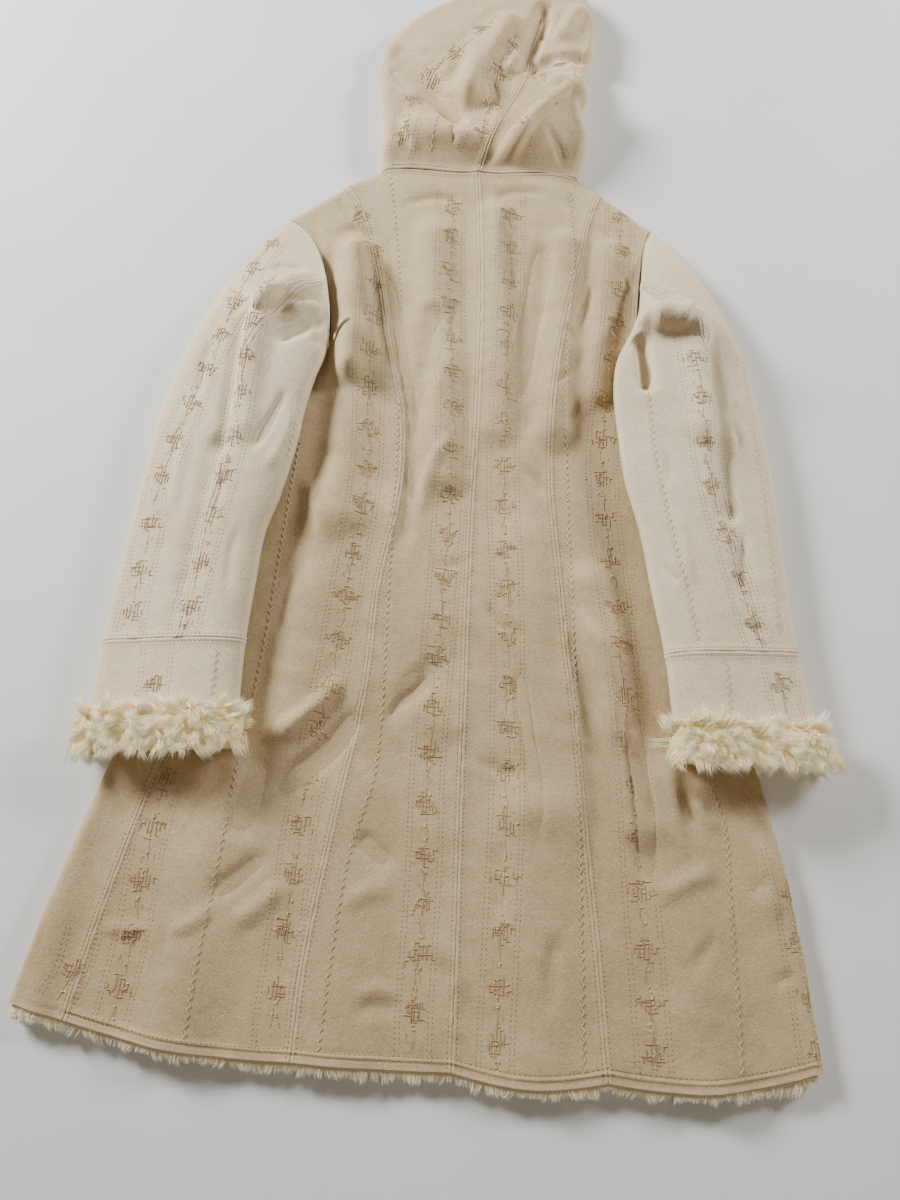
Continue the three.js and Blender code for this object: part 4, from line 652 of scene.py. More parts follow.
def back_panel(start, end, bow, count, seed):
    """Grid of a back panel from seam to seam, with its relief and its distance to the nearest seam."""
    level = LEVELS[:, None]
    width = np.abs(end - start)[:, None] - SEAM_GAP
    distance = column_distances(width, count)
    u = distance / width
    first = toward(start, end, SEAM_GAP / 2)[:, None]
    last = toward(end, start, SEAM_GAP / 2)[:, None]
    p = bowed(first + (last - first) * u, bow, u, level)
    z = back_height(p)
    from_hem = np.abs(p - p[:1])
    from_top = np.abs(p - p[-1:])
    turned = shoulder_turn(p)
    t = np.clip(1 - from_top / 11, 0, 1)
    z -= (z - SHOULDER_LOW) * turned * (1 - np.sqrt(np.maximum(1 - t * t, 0)))
    far = width - distance
    relief = back_relief(p) + seam_relief(distance) + pucker(distance, p.imag, seed)
    relief += hem_relief(from_hem) + pucker(from_hem, p.real, seed + 1)
    relief += seam_relief(from_top) * (1 - turned)
    return p, z, relief, distance, far, np.minimum(from_hem, from_top)


def keep_line(name, rows, columns):
    """Marks a row or a column of a built cloth for topstitching."""
    STITCH_LINES.append(FACES[name][0][rows, columns])


def back_centre(side):
    start, end = spot(CENTRE_BACK, LEVELS), spot(PRINCESS[side], LEVELS)
    bow = BOW["centre_" + SIDES[side]]
    p, z, relief, near, far, ends = back_panel(start, end, bow, 26, 11 + side)
    relief += seam_relief(far) + pucker(far, p.imag, 21)
    seams = np.minimum(np.minimum(near, far), ends)
    obj = cloth("back_centre_%s_cloth" % SIDES[side], p, z, relief, seams)
    keep_line(obj.name, slice(None), STITCHED)
    keep_line(obj.name, slice(None), -1 - STITCHED)
    keep_line(obj.name, HEM_LINE, slice(None))
    keep_line(obj.name, TOP_LINE, slice(None))
    return obj


def back_side_left():
    side_seam = spot(SIDE_SEAM_LEFT, np.minimum(LEVELS, UNDERARM_LEVEL))
    end = np.where(LEVELS <= UNDERARM_LEVEL, side_seam, armhole_spot(-1, LEVELS))
    start = spot(PRINCESS_LEFT, LEVELS)
    p, z, relief, near, far, ends = back_panel(start, end, BOW["side_left"], 30, 31)
    relief += seam_relief(far) + pucker(far, p.imag, 33)
    seams = np.minimum(np.minimum(near, far), ends)
    obj = cloth("back_side_left_cloth", p, z, relief, seams)
    for column in (STITCHED, -1 - STITCHED):
        keep_line(obj.name, slice(None), column)
    keep_line(obj.name, HEM_LINE, slice(None))
    return obj


ARC = np.radians(np.linspace(80, -90, 12))
ARC_FADE = np.cos(np.linspace(0, math.pi / 2, len(ARC)))  # of the relief round a fold edge


def fold_arc(edge, inward, height, base=0.0, run=FOLD_RUN):
    """Points of a fold edge, from its top round to below."""
    centre = toward(edge, inward, run)
    p = centre + (edge - centre) * np.cos(ARC)
    return p, base + height / 2 * (1 + np.sin(ARC))


def back_side_right():
    at = np.minimum(LEVELS, UNDERARM_LEVEL)
    edge = spot(FOLD_EDGE_RIGHT, at)
    end = np.where(LEVELS <= UNDERARM_LEVEL, edge - FOLD_RUN + SEAM_GAP / 2, armhole_spot(1, LEVELS))
    start = spot(PRINCESS_RIGHT, LEVELS)
    p, z, relief, near, far, ends = back_panel(start, end, BOW["side_right"], 30, 41)
    sewn = ease(UNDERARM_LEVEL, CORNER_LEVEL, LEVELS)[:, None]
    relief += seam_relief(far) * sewn
    far = far + NO_SEAM * (1 - sewn)
    top = p.shape[1]
    arc_p, arc_z = fold_arc(edge[:, None], edge[:, None] - 100, z[:, -1:])
    seam = spot(SIDE_SEAM_RIGHT, at)[:, None]
    under = (edge[:, None] - FOLD_RUN) + (seam - edge[:, None] + FOLD_RUN) * np.array([0.34, 0.67, 1.0])
    under = under.real + 1j * edge[:, None].imag
    edge_relief = relief[:, -1:] * ARC_FADE
    p = np.concatenate([p, arc_p, under], axis=1)
    z = np.concatenate([z, arc_z, np.zeros(under.shape)], axis=1)
    relief = np.concatenate([relief, edge_relief, np.zeros(under.shape)], axis=1)
    near_seam = np.concatenate([
        np.minimum(np.minimum(near, far), ends),
        np.minimum(np.full(arc_p.shape, NO_SEAM), ends[:, -1:]),
        np.full(under.shape, NO_SEAM),
    ], axis=1)
    has = np.ones((p.shape[0] - 1, p.shape[1] - 1), bool)
    has[UNDERARM_ROW:, top - 1:] = False
    obj = cloth("back_side_right_cloth", p, z, relief, near_seam, has)
    keep_line(obj.name, slice(None), STITCHED)
    keep_line(obj.name, HEM_LINE, slice(0, top + 6))
    return obj


FRONT_LEVELS = LEVELS[::2] if len(LEVELS) % 2 else np.append(LEVELS[::2], LEVELS[-1])
FRONT_UNDERARM = int(np.argmin(np.abs(FRONT_LEVELS - UNDERARM_LEVEL)))


def front_below(outer, side, level):
    """Flat part of a front, from its outer end to the centre front."""
    centre = spot(CENTRE_FRONT, level)[:, None] + side * SEAM_GAP
    u = np.linspace(0, 1, 22)
    p = outer[:, None] + (centre - outer[:, None]) * u
    p = p - 4j * u * (1 - u) * HEM_BOW_FRONT * (1 - ease(0, 1.2, level))[:, None]
    top = ease(8.4, TOP_LEVEL, level)[:, None]
    return p.real + 1j * (p.imag * (1 - top) + front_top(p.real) * top)


def front_right():
    level = FRONT_LEVELS.copy()
    level[FRONT_UNDERARM] = UNDERARM_LEVEL
    at = np.minimum(level, UNDERARM_LEVEL)
    seam = spot(SIDE_SEAM_RIGHT, at).real - SEAM_GAP / 2 + 1j * spot(FOLD_EDGE_RIGHT, at).imag
    outer = np.where(level <= UNDERARM_LEVEL, seam, armhole_spot(1, level))
    p = front_below(outer, 1, level)
    flat = np.zeros(p.shape)
    return cloth("front_right_cloth", p, flat + CLOTH, flat, flat + NO_SEAM)


def front_left():
    level = FRONT_LEVELS.copy()
    level[FRONT_UNDERARM] = UNDERARM_LEVEL
    at = np.minimum(level, UNDERARM_LEVEL)
    edge, seam = spot(FOLD_EDGE_LEFT, at), spot(SIDE_SEAM_LEFT, at)
    start = toward(seam, edge, SEAM_GAP / 2)[:, None]
    inner = (edge + FOLD_RUN)[:, None]
    width = np.abs(inner - start)
    least = np.maximum(width, 10)
    middle = NEAR_SEAM[-1] + (least - NEAR_SEAM[-1]) * np.linspace(0, 1, 8)[1:]
    near_columns = np.broadcast_to(NEAR_SEAM, (len(level), len(NEAR_SEAM)))
    distance = np.concatenate([near_columns, middle], axis=1) * width / least
    strip = start + (inner - start) * distance / width
    z = back_height(strip)
    relief = seam_relief(distance) + pucker(distance, strip.imag, 51) + back_relief(strip)
    from_hem = np.abs(strip - strip[:1])
    relief += hem_relief(from_hem)
    arc_p, arc_z = fold_arc(edge[:, None], edge[:, None] + 100, z[:, -1:])
    arc_p, arc_z = arc_p[:, :-1], arc_z[:, :-1]
    outer = np.where(level <= UNDERARM_LEVEL, edge + FOLD_RUN, armhole_spot(-1, level))
    below = front_below(outer, -1, level)
    p = np.concatenate([strip, arc_p, below], axis=1)
    z = np.concatenate([z, arc_z, np.zeros(below.shape)], axis=1)
    edge_relief = relief[:, -1:] * np.cos(np.linspace(0, math.pi / 2, arc_p.shape[1]))
    relief = np.concatenate([relief, edge_relief, np.zeros(below.shape)], axis=1)
    near_seam = np.concatenate([
        np.minimum(distance, from_hem),
        np.minimum(np.full(arc_p.shape, NO_SEAM), from_hem[:, -1:]),
        np.full(below.shape, NO_SEAM),
    ], axis=1)
    has = np.ones((p.shape[0] - 1, p.shape[1] - 1), bool)
    has[FRONT_UNDERARM:, :strip.shape[1] + arc_p.shape[1]] = False
    obj = cloth("front_left_cloth", p, z, relief, near_seam, has)
    keep_line(obj.name, slice(0, FRONT_UNDERARM), STITCHED)
    return obj


# Sleeves
def under_sleeve(side, p):
    """Height of what a sleeve lies on: the body's back, or the surface outside it."""
    inboard = (p.real - edge_at(FOLD_EDGE[side], p.imag)) * -side
    return (LIE + SEAM_GAP + 0.8) * ease(*SLEEVE_CLIMB, inboard) * (1 - ease(*UNDERARM_BLEND, p.imag))


def sleeve_ends(side, station):
    """Outer and inner end of a sleeve's section at a station."""
    rows = SLEEVE_ROWS[side]
    outer = along(rows, station, "ox") + 1j * along(rows, station, "oy")
    return outer, along(rows, station, "ix") + 1j * along(rows, station, "iy")


def sleeve_point(side, station, across, above, grow=0.0):
    """Plan point and height of a sleeve at a station, a fraction across from its outer end."""
    hole = ARMHOLE[side]
    outer, inner = sleeve_ends(side, station)
    width = np.abs(outer - inner)
    p = outer + (inner - outer) * (-grow + (width + 2 * grow) * across) / width
    bend = np.maximum(0, 1 - station / 2.5) ** 2
    straight = spot(hole, 1.0) + (spot(hole, 0.0) - spot(hole, 1.0)) * across
    clear = 0.4 if above else 1.2 + 1.6 * across
    p = p + (spot(hole, 1 - across) - straight + side * clear) * bend
    end = np.abs(2 * across - 1)
    arch = (1 - end**ARCH_POWER) ** (1 / ARCH_POWER)
    belly = (1 - end**BELLY_POWER) ** (1 / BELLY_POWER)
    height = along(SLEEVE_ROWS[side], station, "height")
    low = under_sleeve(side, p)
    middle = under_sleeve(side, inner) * ease(0.1, 0.9, across) + height / 2
    if not above:
        floor = low + np.maximum(-grow, 0)
        return p, middle - (middle - floor) * belly
    settle = ease(0, 1.5, station) * (1 - ease(7, 8, station))
    folds = fold_lift(SLEEVE_FOLDS[side], p) * settle
    return p, middle + (height / 2 + grow) * arch + folds * arch


FRONT_SEAM = 0.78  # how far across the seam beneath a sleeve lies
LAST_STATION = 62.0  # length of a sleeve's last station
CUFF_LENGTH = 63.0
NEAR_CUFF = np.array([7.8, 5.6, 4.4, 3.6, 2.4, 1.4, 0.7, 0.1])
SLEEVE_STATIONS = np.concatenate([
    [0, 0.012, 0.03, 0.06, 0.085, 0.1, 0.12, 0.15], np.linspace(0.15, 7.84, 132)[1:],
    CUFF_STATION - NEAR_CUFF / LAST_STATION,
])


def end_crowded(count):
    """Fractions from 0 to 1, crowded near 0."""
    t = np.linspace(0, 1, count)
    return 0.5 * t + 0.5 * (1 - np.cos(math.pi * t / 2))


def sleeve_half(side, upper):
    """Half of a sleeve: columns over its top to the back seam, and beneath to the front seam."""
    station = SLEEVE_STATIONS[:, None]
    outer, inner = sleeve_ends(side, station)
    width = np.abs(outer - inner)
    seam = along(SLEEVE_ROWS[side], station, "seam")
    near, gap = NEAR_SEAM / width, SEAM_GAP / 2 / width
    if upper:
        end = seam - near[:, -1:]
        above = np.concatenate([end_crowded(28) * end, seam - near[:, ::-1][:, 1:]], axis=1)
        above[:, -1:] = seam - gap
        below = FRONT_SEAM - gap - (FRONT_SEAM - gap) * np.linspace(0, 1, 26)[:-1] ** 0.8
    else:
        start = seam + near[:, -1:]
        above = np.concatenate([seam + near[:, :-1], 1 - end_crowded(24)[::-1] * (1 - start)], axis=1)
        above[:, :1] = seam + gap
        below = 1 - (1 - FRONT_SEAM - gap) * np.linspace(0, 1, 12)[1:] ** 1.2
    top_p, top_z = sleeve_point(side, station, above, True)
    low_p, low_z = sleeve_point(side, station, below, False)
    from_seam = np.abs(above - seam) * width
    seam_line = top_p[:, -1 if upper else 0]
    from_hole = np.cumsum(np.abs(np.diff(seam_line, prepend=seam_line[:1])))[:, None]
    from_cuff = from_hole[-1] - from_hole
    inside = 1 - np.abs(2 * above - 1) ** 4
    settle = ease(0, 1.2, station) * (1 - ease(7.4, 8, station)) * inside
    relief = (crease_lift(SLEEVE_CREASES[side], top_p) + 0.5 * swell(top_p, 60, 61 + side)) * settle
    relief += 0.2 * swell(top_p, 26, 63 + side) * inside
    relief += seam_relief(from_seam) + pucker(from_seam, from_hole, 65)
    relief += seam_relief(from_cuff) + pucker(from_cuff, top_p.real, 67) + seam_relief(from_hole)
    seams = np.minimum(np.minimum(from_seam, from_cuff), from_hole)
    pairs = [(low_p, top_p), (low_z, top_z), (np.zeros(low_p.shape), relief),
             (np.full(low_p.shape, NO_SEAM), seams)]
    if upper:
        name, column, up = "sleeve_%s_upper_cloth", -1 - STITCHED, (60, low_p.shape[1] + 12)
        tops = slice(low_p.shape[1], None)
    else:
        name, column, up = "sleeve_%s_under_cloth", STITCHED, (60, 6)
        tops = slice(0, top_p.shape[1])
        pairs = [pair[::-1] for pair in pairs]
    obj = cloth(name % SIDES[side], *(np.concatenate(pair, 1) for pair in pairs), up=up)
    keep_line(obj.name, slice(None), column)
    keep_line(obj.name, TOP_LINE, tops)
    return obj


def ring_point(side, station, turn, grow):
    """Plan point and height round a sleeve: turn runs from 0 at the outer end over the top to 1 at
    the inner end, and back beneath to 2."""
    turn = np.mod(turn, 2)
    above = turn <= 1
    across = np.where(above, turn, 2 - turn)
    top = sleeve_point(side, station, across, True, grow)
    low = sleeve_point(side, station, across, False, grow)
    return np.where(above, top[0], low[0]), np.where(above, top[1], low[1])


def ring_turns(count):
    """Turns round a sleeve, crowded at both of its ends."""
    t = np.arange(count) / count * 2
    return t - 0.5 * np.sin(2 * math.pi * t) / (2 * math.pi)


def cuff(side):
    station = np.concatenate([
        CUFF_STATION + np.maximum(NEAR_SEAM, 0.1) / CUFF_LENGTH,
        np.linspace(8.18, FUR_STATION + 0.1, 14),
    ])[:, None]
    turn = ring_turns(84)
    p, z = ring_point(side, station, turn, 0.0)
    from_seam = (station - CUFF_STATION) * CUFF_LENGTH + np.zeros(turn.shape)
    above = (turn < 1) * (1 - np.abs(2 * turn - 1) ** 4)
    relief = (0.5 * swell(p, 50, 71 + side) + 0.3 * swell(p, 22, 72)) * above
    relief += seam_relief(from_seam) * (turn <= 1) + pucker(from_seam, p.real, 73) * above
    obj = cloth("cuff_%s_cloth" % SIDES[side], p, z, relief, from_seam, around=True, up=(8, 20))
    keep_line(obj.name, STITCHED, slice(0, 43))
    return obj


# Hood
def hood_height(p):
    """Height of the hood's face, which comes down to the neck seam."""
    spare = HOOD_LIE - HOOD_LEAST + fold_lift(HOOD_FOLDS, p)
    free = HOOD_LEAST + (spare + np.hypot(spare, 4)) / 2
    settled = ease(746, 786, p.imag)
    return HOOD_NECK_HEIGHT * (1 - settled) + free * settled


def hood_floor(p):
    """Height of the hood's underside, which is held up where its fur shows."""
    where, flat, reach, rise = HOOD_PEEK
    return rise * (1 - ease(flat, reach, np.abs(p - where)))


HOOD_AT = np.concatenate([
    NEAR_SEAM / 36, np.linspace(7.8 / 36, 3, 44)[1:], np.linspace(3, 5, 40)[1:],
])


def hood_half(side):
    """Half of the hood, from the centre seam over to its fold edge, and beneath to its opening."""
    at = HOOD_AT[:, None]
    at_crown = at == HOOD_AT[-1]
    nudge = side * SEAM_GAP / 2 * at_crown

    def read(end, gap=0.0):
        x, y = (along(HOOD_ROWS[side], at, end + axis) for axis in "xy")
        return x + 1j * y + 1j * gap + nudge

    centre, edge, opening = read("c", SEAM_GAP), read("l"), read("q")
    start = np.where(at_crown, centre, toward(centre, edge, SEAM_GAP / 2))
    turn_in = toward(edge, centre, HOOD_RUN)
    width = np.abs(turn_in - start)
    distance = np.concatenate([
        np.broadcast_to(NEAR_SEAM, (len(at), len(NEAR_SEAM))),
        NEAR_SEAM[-1] + (width - NEAR_SEAM[-1]) * np.linspace(0, 1, 34)[1:],
    ], axis=1)
    u = distance / width
    p = start + (turn_in - start) * u
    on_neck = ease(0.3, 0, at)
    from_neckline = neck_height(p.real) + HOOD_GAP + (p.imag - p[:1].imag)
    p = p.real + 1j * (p.imag * (1 - on_neck) + from_neckline * on_neck)
    z = hood_height(p) * (1 - 0.12 * ease(0.6, 1, u))
    from_neck = np.abs(p - p[:1])
    settled = ease(0, 26, from_neck)
    relief = (crease_lift(HOOD_CREASES, p) + 0.7 * swell(p, 55, 81) + 0.3 * swell(p, 26, 82)) * settled
    relief += seam_relief(distance) + pucker(distance, at * 40, 83)
    relief += seam_relief(from_neck) + pucker(from_neck, p.real, 84)
    base = hood_floor(edge)
    arc_p, arc_z = fold_arc(edge, centre, z[:, -1:] - base, base, HOOD_RUN)
    under = turn_in + (opening - turn_in) * np.linspace(0, 1, 10)[1:]
    under = np.where(at == 0, under.real + 1j * (front_top(under.real) + HOOD_GAP), under)
    top = p.shape[1]
    p = np.concatenate([p, arc_p, under], axis=1)
    z = np.concatenate([z, arc_z, hood_floor(under)], axis=1)
    relief = np.concatenate([relief, relief[:, -1:] * ARC_FADE, np.zeros(under.shape)], axis=1)
    seams = np.full(p.shape, NO_SEAM)
    seams[:, :top] = np.minimum(distance, from_neck)
    obj = cloth("hood_%s_cloth" % SIDES[side], p, z, relief, seams, up=(20, 20))
    keep_line(obj.name, slice(None), STITCHED)
    keep_line(obj.name, STITCHED, slice(0, top))
    return obj


# Fur
HAIR_STEPS = np.array([0, 0.4, 0.75, 1.0])  # where a hair's rings and its tip lie along it
HAIR_TAPER = np.array([1.0, 0.95, 0.7])


def strands(name, root, control, tip, radius, tone):
    """Joined tapering hairs. Each is a bent prism of three sides that ends in a point."""
    count, rings = len(root), len(HAIR_TAPER)
    t = HAIR_STEPS[None, :, None]
    path = (1 - t) ** 2 * root[:, None] + 2 * t * (1 - t) * control[:, None] + t**2 * tip[:, None]
    heading = np.gradient(path, axis=1)
    heading /= np.maximum(np.linalg.norm(heading, axis=-1, keepdims=True), 1e-6)
    side = np.cross(heading, np.array([0.31, 0.52, 0.79]))
    side /= np.maximum(np.linalg.norm(side, axis=-1, keepdims=True), 1e-6)
    other = np.cross(heading, side)
    reach = (radius[:, None] * HAIR_TAPER)[..., None]
    points = np.zeros((count, rings * 3 + 1, 3))
    for k in range(3):
        angle = 2 * math.pi * k / 3
        ring = path[:, :rings] + reach * (math.cos(angle) * side + math.sin(angle) * other)[:, :rings]
        points[:, k:rings * 3:3] = ring
    points[:, -1] = path[:, -1]
    faces = []
    for ring in range(rings - 1):
        for k in range(3):
            a, b = 3 * ring + k, 3 * ring + (k + 1) % 3
            faces += [(a, b, b + 3), (a, b + 3, a + 3)]
    last = 3 * (rings - 1)
    faces += [(last + k, last + (k + 1) % 3, 3 * rings) for k in range(3)]
    faces.append((0, 2, 1))
    faces = np.array(faces)[None] + (np.arange(count) * (rings * 3 + 1))[:, None, None]
    along_hair = np.broadcast_to(np.repeat(HAIR_STEPS, [3] * rings + [1]), (count, rings * 3 + 1))
    tones = np.broadcast_to(tone[:, None], (count, rings * 3 + 1))
    return make_object(
        name, points.reshape(-1, 3), faces.reshape(-1, 3), {"along_hair": along_hair, "tone": tones},
    )


def nearest(points, centres):
    """Index of the nearest centre to each point, found a slice at a time."""
    found = []
    for part in np.array_split(points, 12):
        found.append(np.argmin(((part[:, None] - centres[None]) ** 2).sum(-1), axis=1))
    return np.concatenate(found)


def unit(v):
    """Vectors brought to length 1."""
    return v / np.maximum(np.linalg.norm(v, axis=-1, keepdims=True), 1e-6)


def cuff_locks(side, seed):
    """Curly locks of a cuff: hairs gathered to the tips of their locks."""
    rng = np.random.default_rng(seed)

    def roots(count, grow):
        station = FUR_STATION + rng.uniform(0.02, 0.86, count) ** 0.9
        turn = np.where(rng.random(count) < 0.72, rng.uniform(0, 1, count), rng.uniform(1, 2, count))
        size = grow * (0.6 + 0.4 * np.sin(math.pi * (station - FUR_STATION) ** 0.7))
        p, z = ring_point(side, station, turn, size)
        step = 0.01
        ahead_p, ahead_z = ring_point(side, station, turn + step, size)
        down_p, down_z = ring_point(side, station + step, turn, size)
        here = place(p, z)
        around = place(ahead_p, ahead_z) - here
        down = unit(place(down_p, down_z) - here)
        out = unit(np.cross(around, down))
        out *= np.where((out[:, 2] > 0) == (turn <= 1), 1, -1)[:, None]
        return here, out, down, station - FUR_STATION

    centre, out, down, past = roots(230, 3.0)
    swirl = unit(np.cross(out, down))
    lean = rng.normal(0, 0.7, len(centre))[:, None]
    forward = (-0.55 + 1.5 * np.minimum(past * 1.4, 1) + rng.normal(0, 0.3, len(centre)))[:, None]
    length = rng.uniform(15, 22, len(centre))[:, None]
    course = unit(out * rng.uniform(0.25, 0.6, len(centre))[:, None] + down * forward + swirl * lean)
    lock_tip = centre + course * length
    hair, hair_out, _, _ = roots(8600, 3.0)
    lock = nearest(hair, centre)
    size = rng.uniform(0.6, 1.05, len(hair))[:, None]
    own = hair + course[lock] * length[lock] * size
    pull = rng.uniform(0.05, 0.6, len(hair))[:, None]
    tip = own * (1 - pull) + lock_tip[lock] * pull + rng.normal(0, 1.5, (len(hair), 3))
    bow = rng.uniform(0.25, 0.45, len(hair))[:, None] * length[lock] * size
    curl = rng.normal(0, 1.0, (len(centre), 1))[lock] * 4 + rng.normal(0, 1.2, (len(hair), 1))
    control = hair + hair_out * bow + swirl[lock] * curl
    tip[:, 2] = np.maximum(tip[:, 2], FUR_LOW)
    control[:, 2] = np.maximum(control[:, 2], FUR_LOW)
    tone = rng.random(len(centre))[lock] * 0.6 + rng.random(len(hair)) * 0.4
    radius = rng.uniform(0.2, 0.34, len(hair))
    return strands("cuff_fur_%s_locks" % SIDES[side], hair, control, tip, radius, tone)


def cuff_roll(side):
    """Dense foot of the cuff's fur."""
    rows = table("at out", (0.0, 0.1), (0.12, 3.4), (0.4, 5.2), (0.66, 4.4), (0.82, 1.0), (0.9, -4.0))
    station = np.linspace(0.0, 0.9, 16)
    turn = ring_turns(90)
    grow = along(rows, station, "out")[:, None]
    p, z = ring_point(side, FUR_STATION + station[:, None], turn, grow)
    flat = 0.9 * swell(p, 16, 91) * (turn <= 1)
    name = "cuff_fur_%s_roll" % SIDES[side]
    return cloth(name, p, z, flat, flat + NO_SEAM, around=True, up=(5, 20), thick=3.0)


def hem_line(upper):
    """Points along the upper or the lower hem, and heights, from left to right."""
    if upper:
        lines = []
        left = spot(FOLD_EDGE_LEFT, 0.0) + FOLD_RUN
        ends = [left, spot(SIDE_SEAM_LEFT, 0.0), spot(PRINCESS_LEFT, 0.0), spot(CENTRE_BACK, 0.0),
                spot(PRINCESS_RIGHT, 0.0), spot(FOLD_EDGE_RIGHT, 0.0) - 2]
        bows = [0, BOW["side_left"][0], BOW["centre_left"][0], BOW["centre_right"][0],
                BOW["side_right"][0]]
        for a, b, bow in zip(ends, ends[1:], bows):
            u = np.linspace(0, 1, 40)
            lines.append(a + (b - a) * u + 4j * u * (1 - u) * bow)
        p = np.concatenate([line[:-1] for line in lines])
        return p, back_height(p)
    ends = [spot(FOLD_EDGE_LEFT, 0.0) + 2, spot(CENTRE_FRONT, 0.0),
            spot(FOLD_EDGE_RIGHT, 0.0) - FOLD_RUN]
    u = np.linspace(0, 1, 100)
    parts = [a + (b - a) * u - 4j * u * (1 - u) * HEM_BOW_FRONT for a, b in zip(ends, ends[1:])]
    p = np.concatenate([parts[0][:-1], parts[1]])
    return p, np.full(p.shape, CLOTH)


def fur_base(name, points, caps):
    """Tube through rings of points, closed at both ends by caps of their numbers in a ring."""
    count = points.shape[1]
    ids = np.arange(points.shape[0] * count).reshape(-1, count)
    nxt = np.roll(ids, -1, axis=1)
    quads = np.stack([ids[:-1], nxt[:-1], nxt[1:], ids[1:]], -1).reshape(-1, 4)
    quads = np.concatenate([quads, ids[0][caps], ids[-1][caps[:, ::-1]]])
    points = points.reshape(-1, 3)
    return make_object(name, points, quads, {
        "along_hair": np.full(len(points), 0.05), "tone": np.full(len(points), 0.4),
    })


def hem_pile(upper, seed):
    """Short curly pile that peeks out past the hem, on a narrow wedge."""
    p, height = hem_line(upper)
    heading = np.gradient(p)
    outward = heading / np.abs(heading) * -1j
    rng = np.random.default_rng(seed)
    thick = 5.0 if upper else 3.6
    top = height - (CLOTH - 0.8 if upper else -1.2)
    section = [(1.0, 0.0), (5.5, -0.5), (6.0, -0.75 * thick), (0.8, -thick)]
    ring = [(p + outward * (out - 2.6), np.maximum(top + drop, 0.3)) for out, drop in section]
    points = np.stack([place(q, z) for q, z in ring], axis=1)
    word = "back" if upper else "front"
    base = fur_base("hem_pile_%s_base" % word, points, np.array([[3, 2, 1, 0]]))
    hairs = 3600 if upper else 2600
    where = rng.uniform(0, len(p) - 1.001, hairs)
    k = where.astype(int)
    f = where - k
    at = p[k] * (1 - f) + p[k + 1] * f
    z = top[k] - rng.uniform(0.2, thick, hairs)
    out = outward[k]
    lock = np.floor(where * np.abs(heading).mean() / 5.5).astype(int)
    lock_rng = np.random.default_rng(seed + 1)
    leans = lock_rng.normal(0, 0.5, lock.max() + 2)
    reaches = lock_rng.uniform(0.55, 1.1, lock.max() + 2)
    lean = leans[lock] + rng.normal(0, 0.25, hairs)
    reach = HEM_REACH * reaches[lock] * rng.uniform(0.75, 1.1, hairs)
    root = place(at - out * 0.5, np.maximum(z, 0.8))
    end = at + out * reach + heading[k] / np.abs(heading[k]) * lean * 5
    sink = rng.uniform(0.5, 3.2, hairs) + (1.5 if upper else 0)
    tip = place(end, np.maximum(z - sink, 0.6))
    control = place(at + out * reach * 0.55, z + rng.uniform(-0.2, 1.6, hairs))
    tone = lock_rng.random(len(leans))[lock]
    radius = rng.uniform(0.26, 0.42, hairs)
    return base, strands("hem_pile_%s_hairs" % word, root, control, tip, radius, tone)


HOOD_FUR_END = 14  # last station of the hood's fur


def as_vectors(p, z):
    """Plan directions and rises as vectors."""
    return np.stack([p.real, p.imag, z], -1)


def hood_pile(seed):
    """Curly fur along the hood's face opening, thickest where it shows."""
    at = np.linspace(0, HOOD_FUR_END, 120)
    p = spot(HOOD_FUR, at)
    width, height = along(HOOD_FUR, at, "width"), along(HOOD_FUR, at, "height")
    heading = np.gradient(p)
    outward = heading / np.abs(heading) * -1j
    angle = 2 * math.pi * np.arange(10) / 10
    q = p[:, None] + outward[:, None] * (width * 0.34)[:, None] * np.cos(angle)
    z = 0.5 + (height * 0.36)[:, None] * (1 + np.sin(angle))
    caps = np.array([[0, k, k + 1, k + 2] for k in (1, 3, 5, 7)])
    base = fur_base("hood_fur_base", place(q, z), caps)
    rng = np.random.default_rng(seed)
    hairs = 1800
    showing = rng.random(hairs) < 0.6
    where = np.where(showing, rng.uniform(3.2, 7.2, hairs), rng.uniform(0, HOOD_FUR_END, hairs))
    centre = spot(HOOD_FUR, where)
    later, earlier = np.minimum(where + 0.01, HOOD_FUR_END), np.maximum(where - 0.01, 0)
    ahead = spot(HOOD_FUR, later) - spot(HOOD_FUR, earlier)
    ahead = ahead / np.abs(ahead)
    side = ahead * -1j
    turn = rng.uniform(0, 2 * math.pi, hairs)
    w, h = along(HOOD_FUR, where, "width"), along(HOOD_FUR, where, "height")
    root = place(centre + side * 0.3 * w * np.cos(turn), 0.8 + 0.34 * h * (1 + np.sin(turn)))
    out = as_vectors(side * np.cos(turn), np.sin(turn))
    lock = np.floor(where * 9).astype(int)
    leans = rng.normal(0, 1.0, lock.max() + 1)[lock][:, None]
    tip = root + out * (w * 0.26)[:, None] + as_vectors(ahead, np.zeros(hairs)) * leans * 5
    tip += rng.normal(0, 0.8, (hairs, 3))
    tip[:, 2] = np.clip(tip[:, 2], 0.6, h + 0.6)
    control = root + out * (w * 0.2)[:, None]
    control[:, 2] = np.clip(control[:, 2], 0.6, h)
    radius = rng.uniform(0.35, 0.55, hairs)
    return base, strands("hood_fur_hairs", root, control, tip, radius, rng.random(hairs))


# What is sewn on
def tree_with(name, inputs):
    """Geometry node tree with named inputs, and its two ends."""
    tree = bpy.data.node_groups.new(name, "GeometryNodeTree")
    tree.interface.new_socket("Geometry", in_out="INPUT", socket_type="NodeSocketGeometry")
    for label, kind, value in inputs:
        socket = tree.interface.new_socket(label, in_out="INPUT", socket_type=kind)
        if value is not None:
            socket.default_value = value
    tree.interface.new_socket("Geometry", in_out="OUTPUT", socket_type="NodeSocketGeometry")
    return tree, tree.nodes.new("NodeGroupInput"), tree.nodes.new("NodeGroupOutput")


